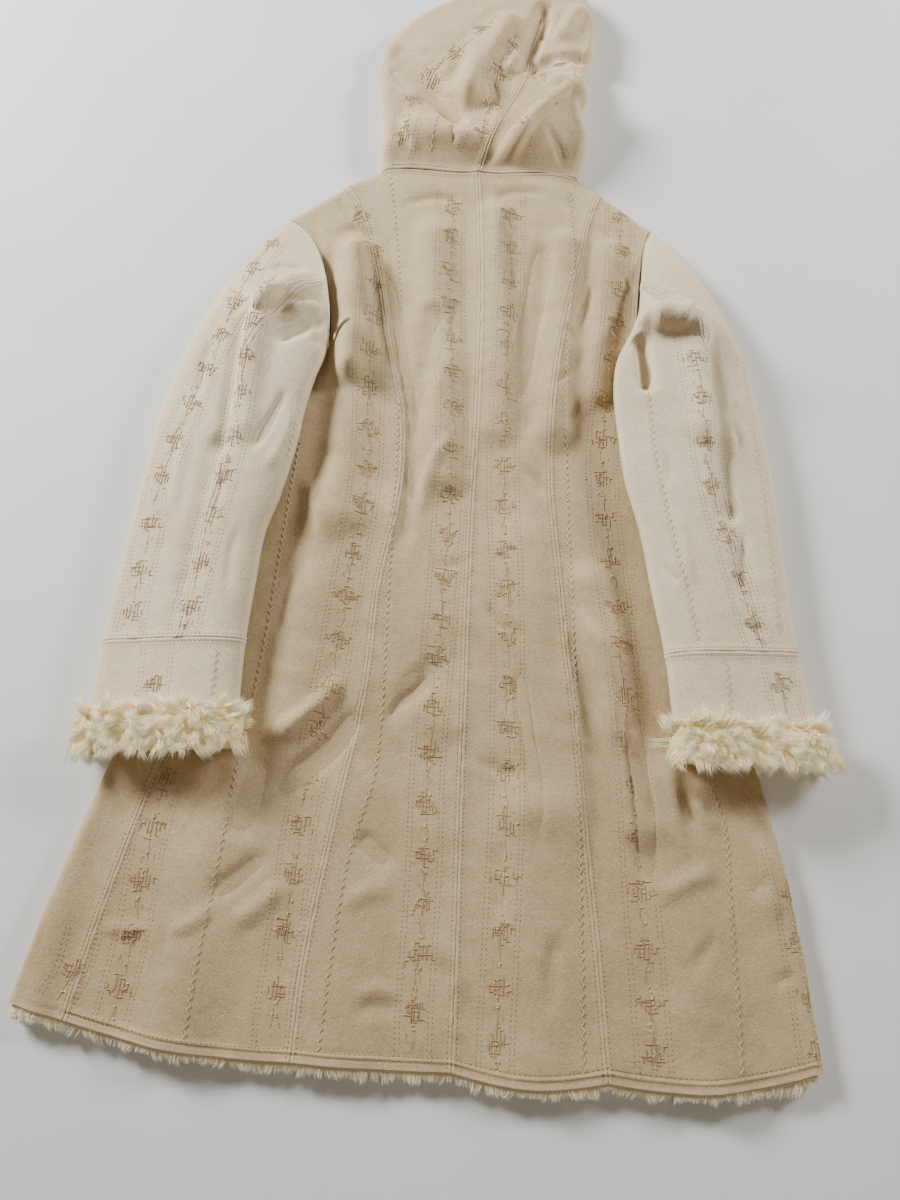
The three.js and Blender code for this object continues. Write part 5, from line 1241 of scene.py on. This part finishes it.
def joined(tree, *pairs):
    """Links pairs of sockets."""
    for a, b in pairs:
        tree.links.new(a, b)


def stitch_tree():
    """Stitches along lines: each a short thread that dips into the cloth at both ends."""
    tree, start, end = tree_with("stitches", [
        ("Pitch", "NodeSocketFloat", 0.004), ("Length", "NodeSocketFloat", 0.0027),
        ("Thickness", "NodeSocketFloat", 0.0007), ("Unevenness", "NodeSocketFloat", 0.12),
        ("Seed", "NodeSocketInt", 5), ("Material", "NodeSocketMaterial", None),
    ])
    new = tree.nodes.new
    curve, even = new("GeometryNodeMeshToCurve"), new("GeometryNodeResampleCurve")
    even.mode = "LENGTH"
    points = new("GeometryNodeInstanceOnPoints")
    bead = new("GeometryNodeMeshUVSphere")
    bead.inputs["Segments"].default_value = 4
    bead.inputs["Rings"].default_value = 2
    bead.inputs["Radius"].default_value = 0.5
    tangent = new("GeometryNodeInputTangent")
    turn = new("FunctionNodeAlignRotationToVector")
    turn.axis = "Z"
    jitter = new("FunctionNodeRotateRotation")
    jitter.rotation_space = "LOCAL"
    spread = new("FunctionNodeRandomValue")
    spread.data_type = "FLOAT_VECTOR"
    spread.inputs[1].default_value = (1, 1, 1)
    spread.inputs[0].default_value = (-1, -1, -1)
    amount = new("ShaderNodeVectorMath")
    amount.operation = "SCALE"
    to_turn = new("FunctionNodeEulerToRotation")
    size = new("ShaderNodeCombineXYZ")
    real, set_material = new("GeometryNodeRealizeInstances"), new("GeometryNodeSetMaterial")
    joined(
        tree, (start.outputs["Geometry"], curve.inputs[0]), (curve.outputs[0], even.inputs["Curve"]),
        (start.outputs["Pitch"], even.inputs["Length"]), (even.outputs[0], points.inputs["Points"]),
        (bead.outputs["Mesh"], points.inputs["Instance"]), (tangent.outputs[0], turn.inputs["Vector"]),
        (turn.outputs[0], jitter.inputs[0]), (start.outputs["Seed"], spread.inputs["Seed"]),
        (spread.outputs[0], amount.inputs[0]), (start.outputs["Unevenness"], amount.inputs["Scale"]),
        (amount.outputs[0], to_turn.inputs[0]), (to_turn.outputs[0], jitter.inputs[1]),
        (jitter.outputs[0], points.inputs["Rotation"]), (start.outputs["Thickness"], size.inputs[0]),
        (start.outputs["Thickness"], size.inputs[1]), (start.outputs["Length"], size.inputs[2]),
        (size.outputs[0], points.inputs["Scale"]), (points.outputs[0], real.inputs[0]),
        (real.outputs[0], set_material.inputs["Geometry"]),
        (start.outputs["Material"], set_material.inputs["Material"]),
        (set_material.outputs[0], end.inputs[0]),
    )
    return tree


def thread_tree():
    """Threads laid along lines, as thin tubes."""
    tree, start, end = tree_with("threads", [
        ("Thickness", "NodeSocketFloat", 0.001), ("Sides", "NodeSocketInt", 4),
        ("Material", "NodeSocketMaterial", None),
    ])
    new = tree.nodes.new
    curve, ring = new("GeometryNodeMeshToCurve"), new("GeometryNodeCurvePrimitiveCircle")
    half = new("ShaderNodeMath")
    half.operation = "MULTIPLY"
    half.inputs[1].default_value = 0.5
    tube = new("GeometryNodeCurveToMesh")
    tube.inputs["Fill Caps"].default_value = True
    real, set_material = new("GeometryNodeRealizeInstances"), new("GeometryNodeSetMaterial")
    joined(
        tree, (start.outputs["Geometry"], curve.inputs[0]),
        (start.outputs["Sides"], ring.inputs["Resolution"]),
        (start.outputs["Thickness"], half.inputs[0]), (half.outputs[0], ring.inputs["Radius"]),
        (curve.outputs[0], tube.inputs["Curve"]), (ring.outputs[0], tube.inputs["Profile Curve"]),
        (tube.outputs[0], real.inputs[0]), (real.outputs[0], set_material.inputs["Geometry"]),
        (start.outputs["Material"], set_material.inputs["Material"]),
        (set_material.outputs[0], end.inputs[0]),
    )
    return tree


def through_tree(name, lines, tree, values):
    """Lines of millimetre points, turned into a plain mesh by a node tree."""
    points = np.concatenate(lines) * 0.001
    ends = np.cumsum([len(line) for line in lines]) - 1
    first = np.delete(np.arange(len(points)), ends)
    mesh = bpy.data.meshes.new(name)
    mesh.from_pydata(points.tolist(), np.stack([first, first + 1], -1).tolist(), [])
    obj = bpy.data.objects.new(name, mesh)
    bpy.context.scene.collection.objects.link(obj)
    modifier = obj.modifiers.new("sewing", "NODES")
    modifier.node_group = tree
    for item in tree.interface.items_tree:
        if item.item_type == "SOCKET" and item.in_out == "INPUT" and item.name in values:
            modifier[item.identifier] = values[item.name]
    graph = bpy.context.evaluated_depsgraph_get()
    made = bpy.data.meshes.new_from_object(obj.evaluated_get(graph))
    obj.modifiers.remove(modifier)
    obj.data = made
    made.shade_smooth()
    return obj


class Drape:
    """Lays plan lines on the uppermost built cloth of some pieces."""

    def __init__(self, names):
        points, faces, count = [], [], 0
        for name in names:
            face, quads = FACES[name]
            points.append(face.reshape(-1, 3))
            faces.append(quads + count)
            count += len(points[-1])
        points, faces = np.concatenate(points), np.concatenate(faces)
        self.tree = BVHTree.FromPolygons(points.tolist(), faces.tolist())

    def lay(self, p, lift):
        """Runs of points where the line meets the cloth."""
        runs, run = [], []
        for q in p:
            x, y = q.real - PLAN_MID.real, q.imag - PLAN_MID.imag
            hit = self.tree.ray_cast(Vector((x, y, 200.0)), Vector((0, 0, -1)))[0]
            if hit is None or (run and abs(hit.z + lift - run[-1][2]) > 5):
                runs.append(run)
                run = []
            if hit is not None:
                run.append((x, y, hit.z + lift))
        runs.append(run)
        return [np.array(r) for r in runs if len(r) > 2]


# Bands of embroidery: rung clusters down a line
BODY_BANDS = [
    [(2, 723), (0, 581), (2, 417), (-7, 248), (-20, 96), (-23, 0), (-30, -113), (-31, -153)],
    [(67, 723), (65, 631), (60, 521), (53, 373), (55, 248), (51, 60), (46, -25), (37, -160)],
    [(-110, 717), (-81, 639), (-82, 576), (-83, 458), (-84, 370), (-100, 256), (-115, 150), (-133, 42),
     (-140, -25), (-149, -112), (-150, -142)],
    [(-250, 96), (-261, 60), (-269, 8), (-274, -50), (-283, -105), (-287, -127)],
    [(-316, -50), (-322, -82), (-334, -106)],
    [(188, 703), (185, 657), (178, 581), (166, 497), (154, 406), (153, 330), (158, 248), (162, 151),
     (166, 60), (167, -25), (169, -105), (170, -165)],
    [(291, 20), (298, -25), (304, -110), (306, -158)],
]
SLEEVE_BANDS = [
    [(-185, 664), (-211, 608), (-233, 535), (-257, 459), (-284, 366), (-292, 298), (-300, 212)],
    [(-167, 596), (-194, 562), (-203, 509), (-211, 414), (-225, 340), (-235, 279), (-245, 211)],
    [(244, 525), (249, 445), (254, 359), (274, 258), (287, 196)],
]
CUFF_BANDS = [[(-269, 195), (-269, 170), (-271, 143)], [(301, 183), (304, 157), (309, 129)]]
HOOD_BANDS = [
    [(-57, 765), (-51, 789), (-39, 838), (-11, 885), (23, 917), (58, 962)],
    [(22, 762), (31, 779), (47, 827), (57, 877), (74, 913), (92, 958)],
    [(71, 765), (78, 785), (107, 817), (138, 850), (144, 903)],
]
BODY_ZIGZAGS = [
    [(-152, 416), (-162, 330), (-175, 208), (-194, 78), (-206, -8), (-217, -89), (-222, -140)],
    [(-67, 743), (-57, 644), (-53, 581), (-53, 462), (-57, 330), (-61, 208), (-68, 87), (-88, 17),
     (-99, -50), (-110, -147)],
    [(133, 723), (132, 631), (124, 545), (118, 439), (116, 330), (117, 208), (116, 96), (114, -25),
     (111, -165)],
    [(220, 123), (227, 96), (245, 34), (244, -25), (243, -105), (241, -165)],
]
SLEEVE_ZIGZAGS = [
    [(199, 502), (197, 445), (199, 391), (209, 318), (222, 239), (227, 200)],
    [(304, 523), (302, 454), (305, 377), (307, 283), (308, 208)],
    [(-150, 440), (-160, 380), (-172, 300), (-182, 216)],
]
CUFF_ZIGZAGS = [[(-213, 194), (-214, 165), (-216, 143)], [(252, 181), (252, 156), (252, 130)]]
HOOD_ZIGZAGS = [[(-22, 765), (-20, 777), (-11, 819), (0, 850)]]


PERIOD = 44.0  # from one cluster of a band to the next
ZIGZAG_REACH = 1.44


def embroidery(line, rng):
    """Threads of one band as plan lines: rung clusters, the fine thread that links them, running
    stitches beside them, and places for shiny knots."""
    heading = np.gradient(line)
    heading = heading / np.abs(heading)
    side = heading * 1j
    total = len(line) * LINE_STEP
    threads, links, runs, knots = [], [], [], []

    def at(down, across):
        k = np.clip(np.asarray(down, float) / LINE_STEP, 0, len(line) - 1.001)
        i = k.astype(int)
        f = k - i
        return line[i] * (1 - f) + line[i + 1] * f + side[i] * across

    start = rng.uniform(0, 25)
    while start < total - 6:
        rungs = int(rng.integers(5, 8))
        gap = rng.uniform(2.9, 3.9)
        across = (np.arange(rungs) - (rungs - 1) / 2) * gap + rng.normal(0, 0.3, rungs)
        centre = start + 12
        if start + 26 < total:
            reach = 10.5 - 1.1 * np.abs(across) + rng.normal(0, 1.5, rungs)
            for x, half in zip(across, np.maximum(reach, 2.5)):
                painted_falloff = rng.normal(0, 2.2)
                down = centre + painted_falloff + np.linspace(-half, half, 7)
                threads.append(at(down, x + rng.normal(0, 0.22, 7)))
                if rng.random() < 0.75:
                    end = centre + painted_falloff + (half if rng.random() < 0.5 else -half)
                    threads.append(at(end + rng.normal(0, 0.3, 4), x + np.linspace(0, gap, 4)))
            for _ in range(int(rng.integers(3, 6))):
                y = centre + rng.normal(0, 5.5)
                x = rng.uniform(-11, 2)
                threads.append(at(y + rng.normal(0, 0.25, 5), x + np.linspace(0, rng.uniform(5, 11), 5)))
            count = int(rng.integers(3, 6))
            knots += list(at(centre + rng.normal(0, 6, count), rng.normal(0, 5, count)))
        begin, end = start + 24, min(start + PERIOD, total - 1)
        if end - begin > 8:
            t = np.arange(begin, end, LINE_STEP)
            wave = 0.7 * np.sin(t / 3.7 + rng.uniform(0, 6)) + 1.1 * np.sin(t / 9.3 + rng.uniform(0, 6))
            links.append(at(t, wave + rng.uniform(-1.5, 1.5)))
            knots += list(at(rng.uniform(begin, end, 2), rng.normal(0, 1.2, 2)))
            for _ in range(2):
                y, x = rng.uniform(begin, end - 6), rng.uniform(-7, 7)
                links.append(at(y + np.linspace(0, rng.uniform(3, 7), 4), x + rng.normal(0, 0.2, 4)))
        start += PERIOD * rng.uniform(0.9, 1.1)
    for offset in (-16, -12.2, 11.6, 15.4):
        runs.append(line + side * offset)
    return threads, links, runs, knots


def zigzag(line):
    """Zigzag about every other point of a line."""
    line = line[::2]
    heading = np.gradient(line)
    side = heading / np.abs(heading) * 1j
    return line + side * ZIGZAG_REACH * np.where(np.arange(len(line)) % 2, 1, -1)


# Materials
def ramp(nodes, stops):
    """Colour ramp through stops of a place and a colour."""
    node = nodes.new("ShaderNodeValToRGB")
    while len(node.color_ramp.elements) < len(stops):
        node.color_ramp.elements.new(0.5)
    for element, (place_at, colour) in zip(node.color_ramp.elements, stops):
        element.position = place_at
        element.color = (*colour, 1)
    return node


def noise(tree, source, scale, detail=3.0, rough=0.55, distortion=0.0):
    """Noise over some coordinates."""
    node = tree.nodes.new("ShaderNodeTexNoise")
    node.inputs["Scale"].default_value = scale
    node.inputs["Detail"].default_value = detail
    node.inputs["Roughness"].default_value = rough
    node.inputs["Distortion"].default_value = distortion
    tree.links.new(source, node.inputs["Vector"])
    return node.outputs["Fac"]


def attribute(tree, name):
    """Number that each vertex carries under a name."""
    node = tree.nodes.new("ShaderNodeAttribute")
    node.attribute_name = name
    return node.outputs["Fac"]


def feed(tree, socket, value):
    """Gives a socket a number, a colour or a link."""
    if isinstance(value, (int, float)):
        socket.default_value = value
    elif isinstance(value, tuple):
        socket.default_value = (*value, 1)
    else:
        tree.links.new(value, socket)


def math_node(tree, operation, a, b):
    """Result of an operation on two values or numbers."""
    node = tree.nodes.new("ShaderNodeMath")
    node.operation = operation
    feed(tree, node.inputs[0], a)
    feed(tree, node.inputs[1], b)
    return node.outputs[0]


def weighted(tree, first, *rest):
    """Sum of values, each times its weight."""
    total = math_node(tree, "MULTIPLY", *first)
    for pair in rest:
        total = math_node(tree, "ADD", total, math_node(tree, "MULTIPLY", *pair))
    return total


def span(tree, value, low, high, out_low=0.0, out_high=1.0):
    """A value mapped from one range to another."""
    node = tree.nodes.new("ShaderNodeMapRange")
    for socket, number in zip(node.inputs[1:5], (low, high, out_low, out_high)):
        socket.default_value = number
    tree.links.new(value, node.inputs[0])
    return node.outputs[0]


def blend(tree, factor, a, b, kind="MIX"):
    """Two colours mixed by a factor."""
    node = tree.nodes.new("ShaderNodeMix")
    node.data_type = "RGBA"
    node.blend_type = kind
    for index, value in ((0, factor), (6, a), (7, b)):
        feed(tree, node.inputs[index], value)
    return node.outputs[2]


def nap_group():
    """Colour and bump height of suede-like cloth that share a set of noises."""
    tree = bpy.data.node_groups.new("suede_nap", "ShaderNodeTree")
    tree.interface.new_socket("Light", in_out="INPUT", socket_type="NodeSocketColor")
    tree.interface.new_socket("Dark", in_out="INPUT", socket_type="NodeSocketColor")
    tree.interface.new_socket("Color", in_out="OUTPUT", socket_type="NodeSocketColor")
    tree.interface.new_socket("Height", in_out="OUTPUT", socket_type="NodeSocketFloat")
    start, end = tree.nodes.new("NodeGroupInput"), tree.nodes.new("NodeGroupOutput")
    where = tree.nodes.new("ShaderNodeTexCoord").outputs["Object"]
    seam = attribute(tree, "near_seam")
    clouds = noise(tree, where, 7.0, 5.0, 0.6, 0.6)
    brushed = noise(tree, where, 45.0, 4.0, 0.65, 1.5)
    nap = noise(tree, where, 420.0, 3.0, 0.7)
    grain = noise(tree, where, 900.0, 3.0, 0.7)
    crinkle = noise(tree, where, 130.0, 3.0, 0.55)
    shade = weighted(tree, (clouds, 0.55), (brushed, 0.3), (nap, 0.25))
    level = span(tree, shade, 0.38, 0.72)
    colour = blend(tree, level, start.outputs["Dark"], start.outputs["Light"])
    speck = span(tree, grain, 0.36, 0.66, 0.74, 1.16)
    colour = blend(tree, 1.0, colour, speck, "MULTIPLY")
    groove = span(tree, seam, 0.0, 0.9, 0.45, 0.0)
    colour = blend(tree, groove, colour, (0.20, 0.12, 0.05))
    # The welt beside a seam is painted a little paler than the cloth about it: painted highlight on its
    # raised ridge.
    welt_highlight = math_node(tree, "MULTIPLY", span(tree, seam, 3.4, 1.5), 0.16)
    colour = blend(tree, welt_highlight, colour, (0.86, 0.74, 0.55))
    height = weighted(tree, (nap, 0.4), (crinkle, 0.4), (grain, 0.3), (brushed, 0.5))
    tree.links.new(colour, end.inputs["Color"])
    tree.links.new(height, end.inputs["Height"])
    return tree


NAP = nap_group()


def new_material(name, rough, specular=0.5):
    """A material, its node tree and shader, and where a point lies on the object."""
    material = bpy.data.materials.new(name)
    material.use_nodes = True
    tree = material.node_tree
    shader = tree.nodes["Principled BSDF"]
    shader.inputs["Roughness"].default_value = rough
    shader.inputs["Specular IOR Level"].default_value = specular
    return material, tree, shader, tree.nodes.new("ShaderNodeTexCoord").outputs["Object"]


def add_bump(tree, shader, height, strength, distance):
    """Relief of a shader, from a height."""
    bump = tree.nodes.new("ShaderNodeBump")
    bump.inputs["Strength"].default_value = strength
    bump.inputs["Distance"].default_value = distance
    tree.links.new(height, bump.inputs["Height"])
    tree.links.new(bump.outputs["Normal"], shader.inputs["Normal"])


def suede(name, light_top, dark_top, light_low, dark_low, sheen=0.2):
    """Suede-like cloth, its two tones running from the top of the coat to its hem: painted shade makes
    them darker and warmer toward the hem.
    """
    material, tree, shader, where = new_material(name, 0.92, 0.25)
    links = tree.links
    apart = tree.nodes.new("ShaderNodeSeparateXYZ")
    links.new(where, apart.inputs[0])
    # Painted shade: the colour darkens toward the hem, where the light falls off.
    painted_falloff = span(tree, apart.outputs["Y"], -0.52, 0.3)
    group = tree.nodes.new("ShaderNodeGroup")
    group.node_tree = NAP
    links.new(blend(tree, painted_falloff, light_low, light_top), group.inputs["Light"])
    links.new(blend(tree, painted_falloff, dark_low, dark_top), group.inputs["Dark"])
    links.new(group.outputs["Color"], shader.inputs["Base Color"])
    add_bump(tree, shader, group.outputs["Height"], 0.8, 0.001)
    shader.inputs["Sheen Weight"].default_value = sheen
    shader.inputs["Sheen Roughness"].default_value = 0.45
    shader.inputs["Sheen Tint"].default_value = (1.0, 0.93, 0.8, 1)
    return material


def fur_material(name, root, middle, tip):
    """Pile whose colour runs from its roots to its tips, each lock with a tone of its own."""
    material, tree, shader, where = new_material(name, 0.6, 0.3)
    # The darker roots are partly the pile's own yellower colour and partly painted shade in the depth of
    # the fur.
    fade = ramp(tree.nodes, [(0.0, root), (0.45, middle), (1.0, tip)])
    tree.links.new(attribute(tree, "along_hair"), fade.inputs[0])
    uneven = span(tree, noise(tree, where, 60.0), 0.3, 0.7, 0.88, 1.06)
    colour = blend(tree, 1.0, fade.outputs[0], uneven, "MULTIPLY")
    tone = span(tree, attribute(tree, "tone"), 0, 1, 0.84, 1.08)
    colour = blend(tree, 1.0, colour, tone, "MULTIPLY")
    tree.links.new(colour, shader.inputs["Base Color"])
    shader.inputs["Sheen Weight"].default_value = 0.25
    # The hairs glow faintly: painted light that stands in for light passing through thin hairs, and
    # keeps the depths of the fur pale.
    tree.links.new(colour, shader.inputs["Emission Color"])
    shader.inputs["Emission Strength"].default_value = 0.18
    return material


def thread_material(name, colour, shade, rough, specular):
    """Thread with its ply and patches of wear."""
    material, tree, shader, where = new_material(name, rough, specular)
    ply = noise(tree, where, 900.0, 2.0)
    worn = span(tree, noise(tree, where, 30.0, 2.0), 0.3, 0.7, 0.8, 1.12)
    mixed = blend(tree, span(tree, ply, 0.35, 0.65), shade, colour)
    tree.links.new(blend(tree, 1.0, mixed, worn, "MULTIPLY"), shader.inputs["Base Color"])
    add_bump(tree, shader, ply, 0.4, 0.0002)
    return material


# The coat
body_suede = suede("suede_body", (0.66, 0.53, 0.33), (0.46, 0.345, 0.19),
                   (0.58, 0.44, 0.26), (0.40, 0.285, 0.15))
# Painted light: the sleeves' suede is the body's cloth painted paler, for the light that the raised
# sleeves catch.
sleeve_suede_painted_lit = suede("suede_sleeve", (0.83, 0.71, 0.51), (0.68, 0.55, 0.36),
                     (0.81, 0.68, 0.48), (0.65, 0.52, 0.33), 0.3)
hood_suede = suede("suede_hood", (0.73, 0.58, 0.38), (0.52, 0.38, 0.21),
                   (0.73, 0.58, 0.38), (0.52, 0.38, 0.21), 0.3)
cream_fur = fur_material("cream_fur", (0.80, 0.60, 0.27), (0.96, 0.83, 0.49), (0.99, 0.93, 0.67))
pile_fur = fur_material("clipped_pile", (0.52, 0.38, 0.20), (0.84, 0.72, 0.48), (0.98, 0.93, 0.78))
topstitch_thread = thread_material("topstitch_thread", (0.42, 0.30, 0.165), (0.25, 0.165, 0.08),
                                   0.7, 0.3)
brown_thread = thread_material("embroidery_thread", (0.46, 0.32, 0.165), (0.30, 0.19, 0.085),
                               0.6, 0.35)
link_thread = thread_material("link_thread", (0.50, 0.37, 0.21), (0.36, 0.24, 0.12), 0.65, 0.3)
cream_thread = thread_material("cream_thread", (0.83, 0.73, 0.52), (0.55, 0.42, 0.25), 0.35, 0.6)


def panel(node, obj, material):
    """Cloth that replaces a node."""
    obj.data.materials.append(material)
    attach(obj, "root")
    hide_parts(node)


def added(obj):
    """Gives an object its body."""
    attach(obj, "root")
    return obj


def fur_piece(node, base, hair, material):
    """The hairs of a piece of fur, and the base that replaces its node."""
    for obj in (hair, base):
        obj.data.materials.append(material)
        added(obj)
    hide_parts(node)


for side, word in SIDES.items():
    panel("back_centre_" + word, back_centre(side), body_suede)
panel("back_side_left", back_side_left(), body_suede)
panel("back_side_right", back_side_right(), body_suede)
panel("front_left", front_left(), body_suede)
panel("front_right", front_right(), body_suede)
for side, word in SIDES.items():
    panel("sleeve_%s_upper" % word, sleeve_half(side, True), sleeve_suede_painted_lit)
    panel("sleeve_%s_under" % word, sleeve_half(side, False), sleeve_suede_painted_lit)
    panel("cuff_" + word, cuff(side), sleeve_suede_painted_lit)
    panel("hood_" + word, hood_half(side), hood_suede)

for side, word in SIDES.items():
    roll = cuff_roll(side)
    size = len(roll.data.vertices)
    for label, value in (("along_hair", 0.08), ("tone", 0.4)):
        layer = roll.data.attributes.new(label, "FLOAT", "POINT")
        layer.data.foreach_set("value", np.full(size, value, dtype=np.float32))
    fur_piece("cuff_fur_" + word, roll, cuff_locks(side, 17 + side), cream_fur)
fur_piece("hem_pile_back", *hem_pile(True, 28), pile_fur)
fur_piece("hem_pile_front", *hem_pile(False, 27), pile_fur)
fur_piece("hood_fur", *hood_pile(37), pile_fur)

stitches, threads = stitch_tree(), thread_tree()
top_lines = [line + np.array([0, 0, 0.25]) for line in STITCH_LINES]
added(through_tree("topstitching", top_lines, stitches, {
    "Pitch": STITCH_PITCH * 0.001, "Length": 0.0028, "Thickness": 0.0008, "Material": topstitch_thread,
}))

BODY_CLOTH = ["back_centre_left_cloth", "back_centre_right_cloth", "back_side_left_cloth",
              "back_side_right_cloth", "front_left_cloth"]
GROUPS = [
    ("body", BODY_CLOTH, BODY_BANDS, BODY_ZIGZAGS),
    ("sleeves", ["sleeve_%s_%s_cloth" % (a, b) for a in ("left", "right") for b in ("upper", "under")],
     SLEEVE_BANDS, SLEEVE_ZIGZAGS),
    ("cuffs", ["cuff_left_cloth", "cuff_right_cloth"], CUFF_BANDS, CUFF_ZIGZAGS),
    ("hood", ["hood_left_cloth", "hood_right_cloth"], HOOD_BANDS, HOOD_ZIGZAGS),
]
rng = np.random.default_rng(8)
knot_points = []
for word, names, bands, zigzags in GROUPS:
    drape = Drape(names)
    rungs, links, running, cream = [], [], [], []
    for band in bands:
        lines, between, runs, knots = embroidery(smooth_line(band), rng)
        for line in lines:
            rungs += drape.lay(line, 0.2)
        for line in between:
            links += drape.lay(line, 0.1)
        for line in runs:
            running += drape.lay(line, 0.1)
        for knot in knots:
            knot_points += [run[:1] for run in drape.lay(np.array([knot] * 3), 0.5)]
    for line in zigzags:
        cream += drape.lay(zigzag(smooth_line(line, 1.8)), 0.45)
    added(through_tree("embroidery_" + word, rungs, threads, {
        "Thickness": 0.00085, "Material": brown_thread}))
    added(through_tree("link_threads_" + word, links, threads, {
        "Thickness": 0.00055, "Material": link_thread}))
    added(through_tree("running_stitches_" + word, running, stitches, {
        "Pitch": 0.0042, "Length": 0.0026, "Thickness": 0.0006, "Material": topstitch_thread,
    }))
    added(through_tree("zigzag_" + word, cream, threads, {
        "Thickness": 0.0007, "Material": cream_thread}))

knot_lines = [np.concatenate([k, k + rng.normal(0, 0.9, (1, 3)) * [1, 1, 0.1]]) for k in knot_points]
added(through_tree("shiny_knots", knot_lines, stitches, {
    "Pitch": 0.02, "Length": 0.0024, "Thickness": 0.0013, "Unevenness": 0.9, "Material": cream_thread,
}))

# Surroundings
floor_mesh = bpy.data.meshes.new("floor")
floor_mesh.from_pydata([(-4, -4, 0), (4, -4, 0), (4, 4, 0), (-4, 4, 0)], [], [(0, 1, 2, 3)])
floor = bpy.data.objects.new("floor", floor_mesh)
bpy.context.scene.collection.objects.link(floor)
floor_material, floor_tree, floor_shader, floor_where = new_material("pale_floor", 0.9)
floor_tone = blend(floor_tree, span(floor_tree, noise(floor_tree, floor_where, 5.0), 0.3, 0.7),
                   (0.74, 0.74, 0.735), (0.78, 0.78, 0.77))
floor_tree.links.new(floor_tone, floor_shader.inputs["Base Color"])
floor_mesh.materials.append(floor_material)


def lamp(name, place_at, aim, size, power, colour):
    """Rectangular light that points at a place."""
    light = bpy.data.lights.new(name, "AREA")
    light.shape = "RECTANGLE"
    light.size, light.size_y = size
    light.energy = power
    light.color = colour
    obj = bpy.data.objects.new(name, light)
    obj.location = place_at
    obj.rotation_euler = (Vector(aim) - Vector(place_at)).to_track_quat("-Z", "Y").to_euler()
    bpy.context.scene.collection.objects.link(obj)


lamp("window_light", (-1.75, 1.25, 1.02), (0, 0.0, 0), (0.8, 0.5), 122, (1.0, 1.0, 1.0))
lamp("side_light", (1.9, 0.9, 0.95), (0.1, 0, 0), (0.6, 0.4), 52, (1.0, 1.0, 1.0))
lamp("overhead_light", (0.0, -0.3, 2.4), (0, 0, 0), (2.4, 2.4), 9, (1.0, 0.92, 0.78))
world = bpy.data.worlds.new("studio")
world.use_nodes = True
world.node_tree.nodes["Background"].inputs["Color"].default_value = (1.0, 0.86, 0.66, 1)
world.node_tree.nodes["Background"].inputs["Strength"].default_value = 0.12
bpy.context.scene.world = world

camera = bpy.data.cameras.new("camera")
camera.lens = 27.0
camera.sensor_width = 36.0
camera.clip_start, camera.clip_end = 0.01, 50
camera_object = bpy.data.objects.new("camera", camera)
camera_object.location = (0.0131, -0.425, 0.841)
camera_object.rotation_euler = (math.radians(16.7), 0, 0)
bpy.context.scene.collection.objects.link(camera_object)
bpy.context.scene.camera = camera_object
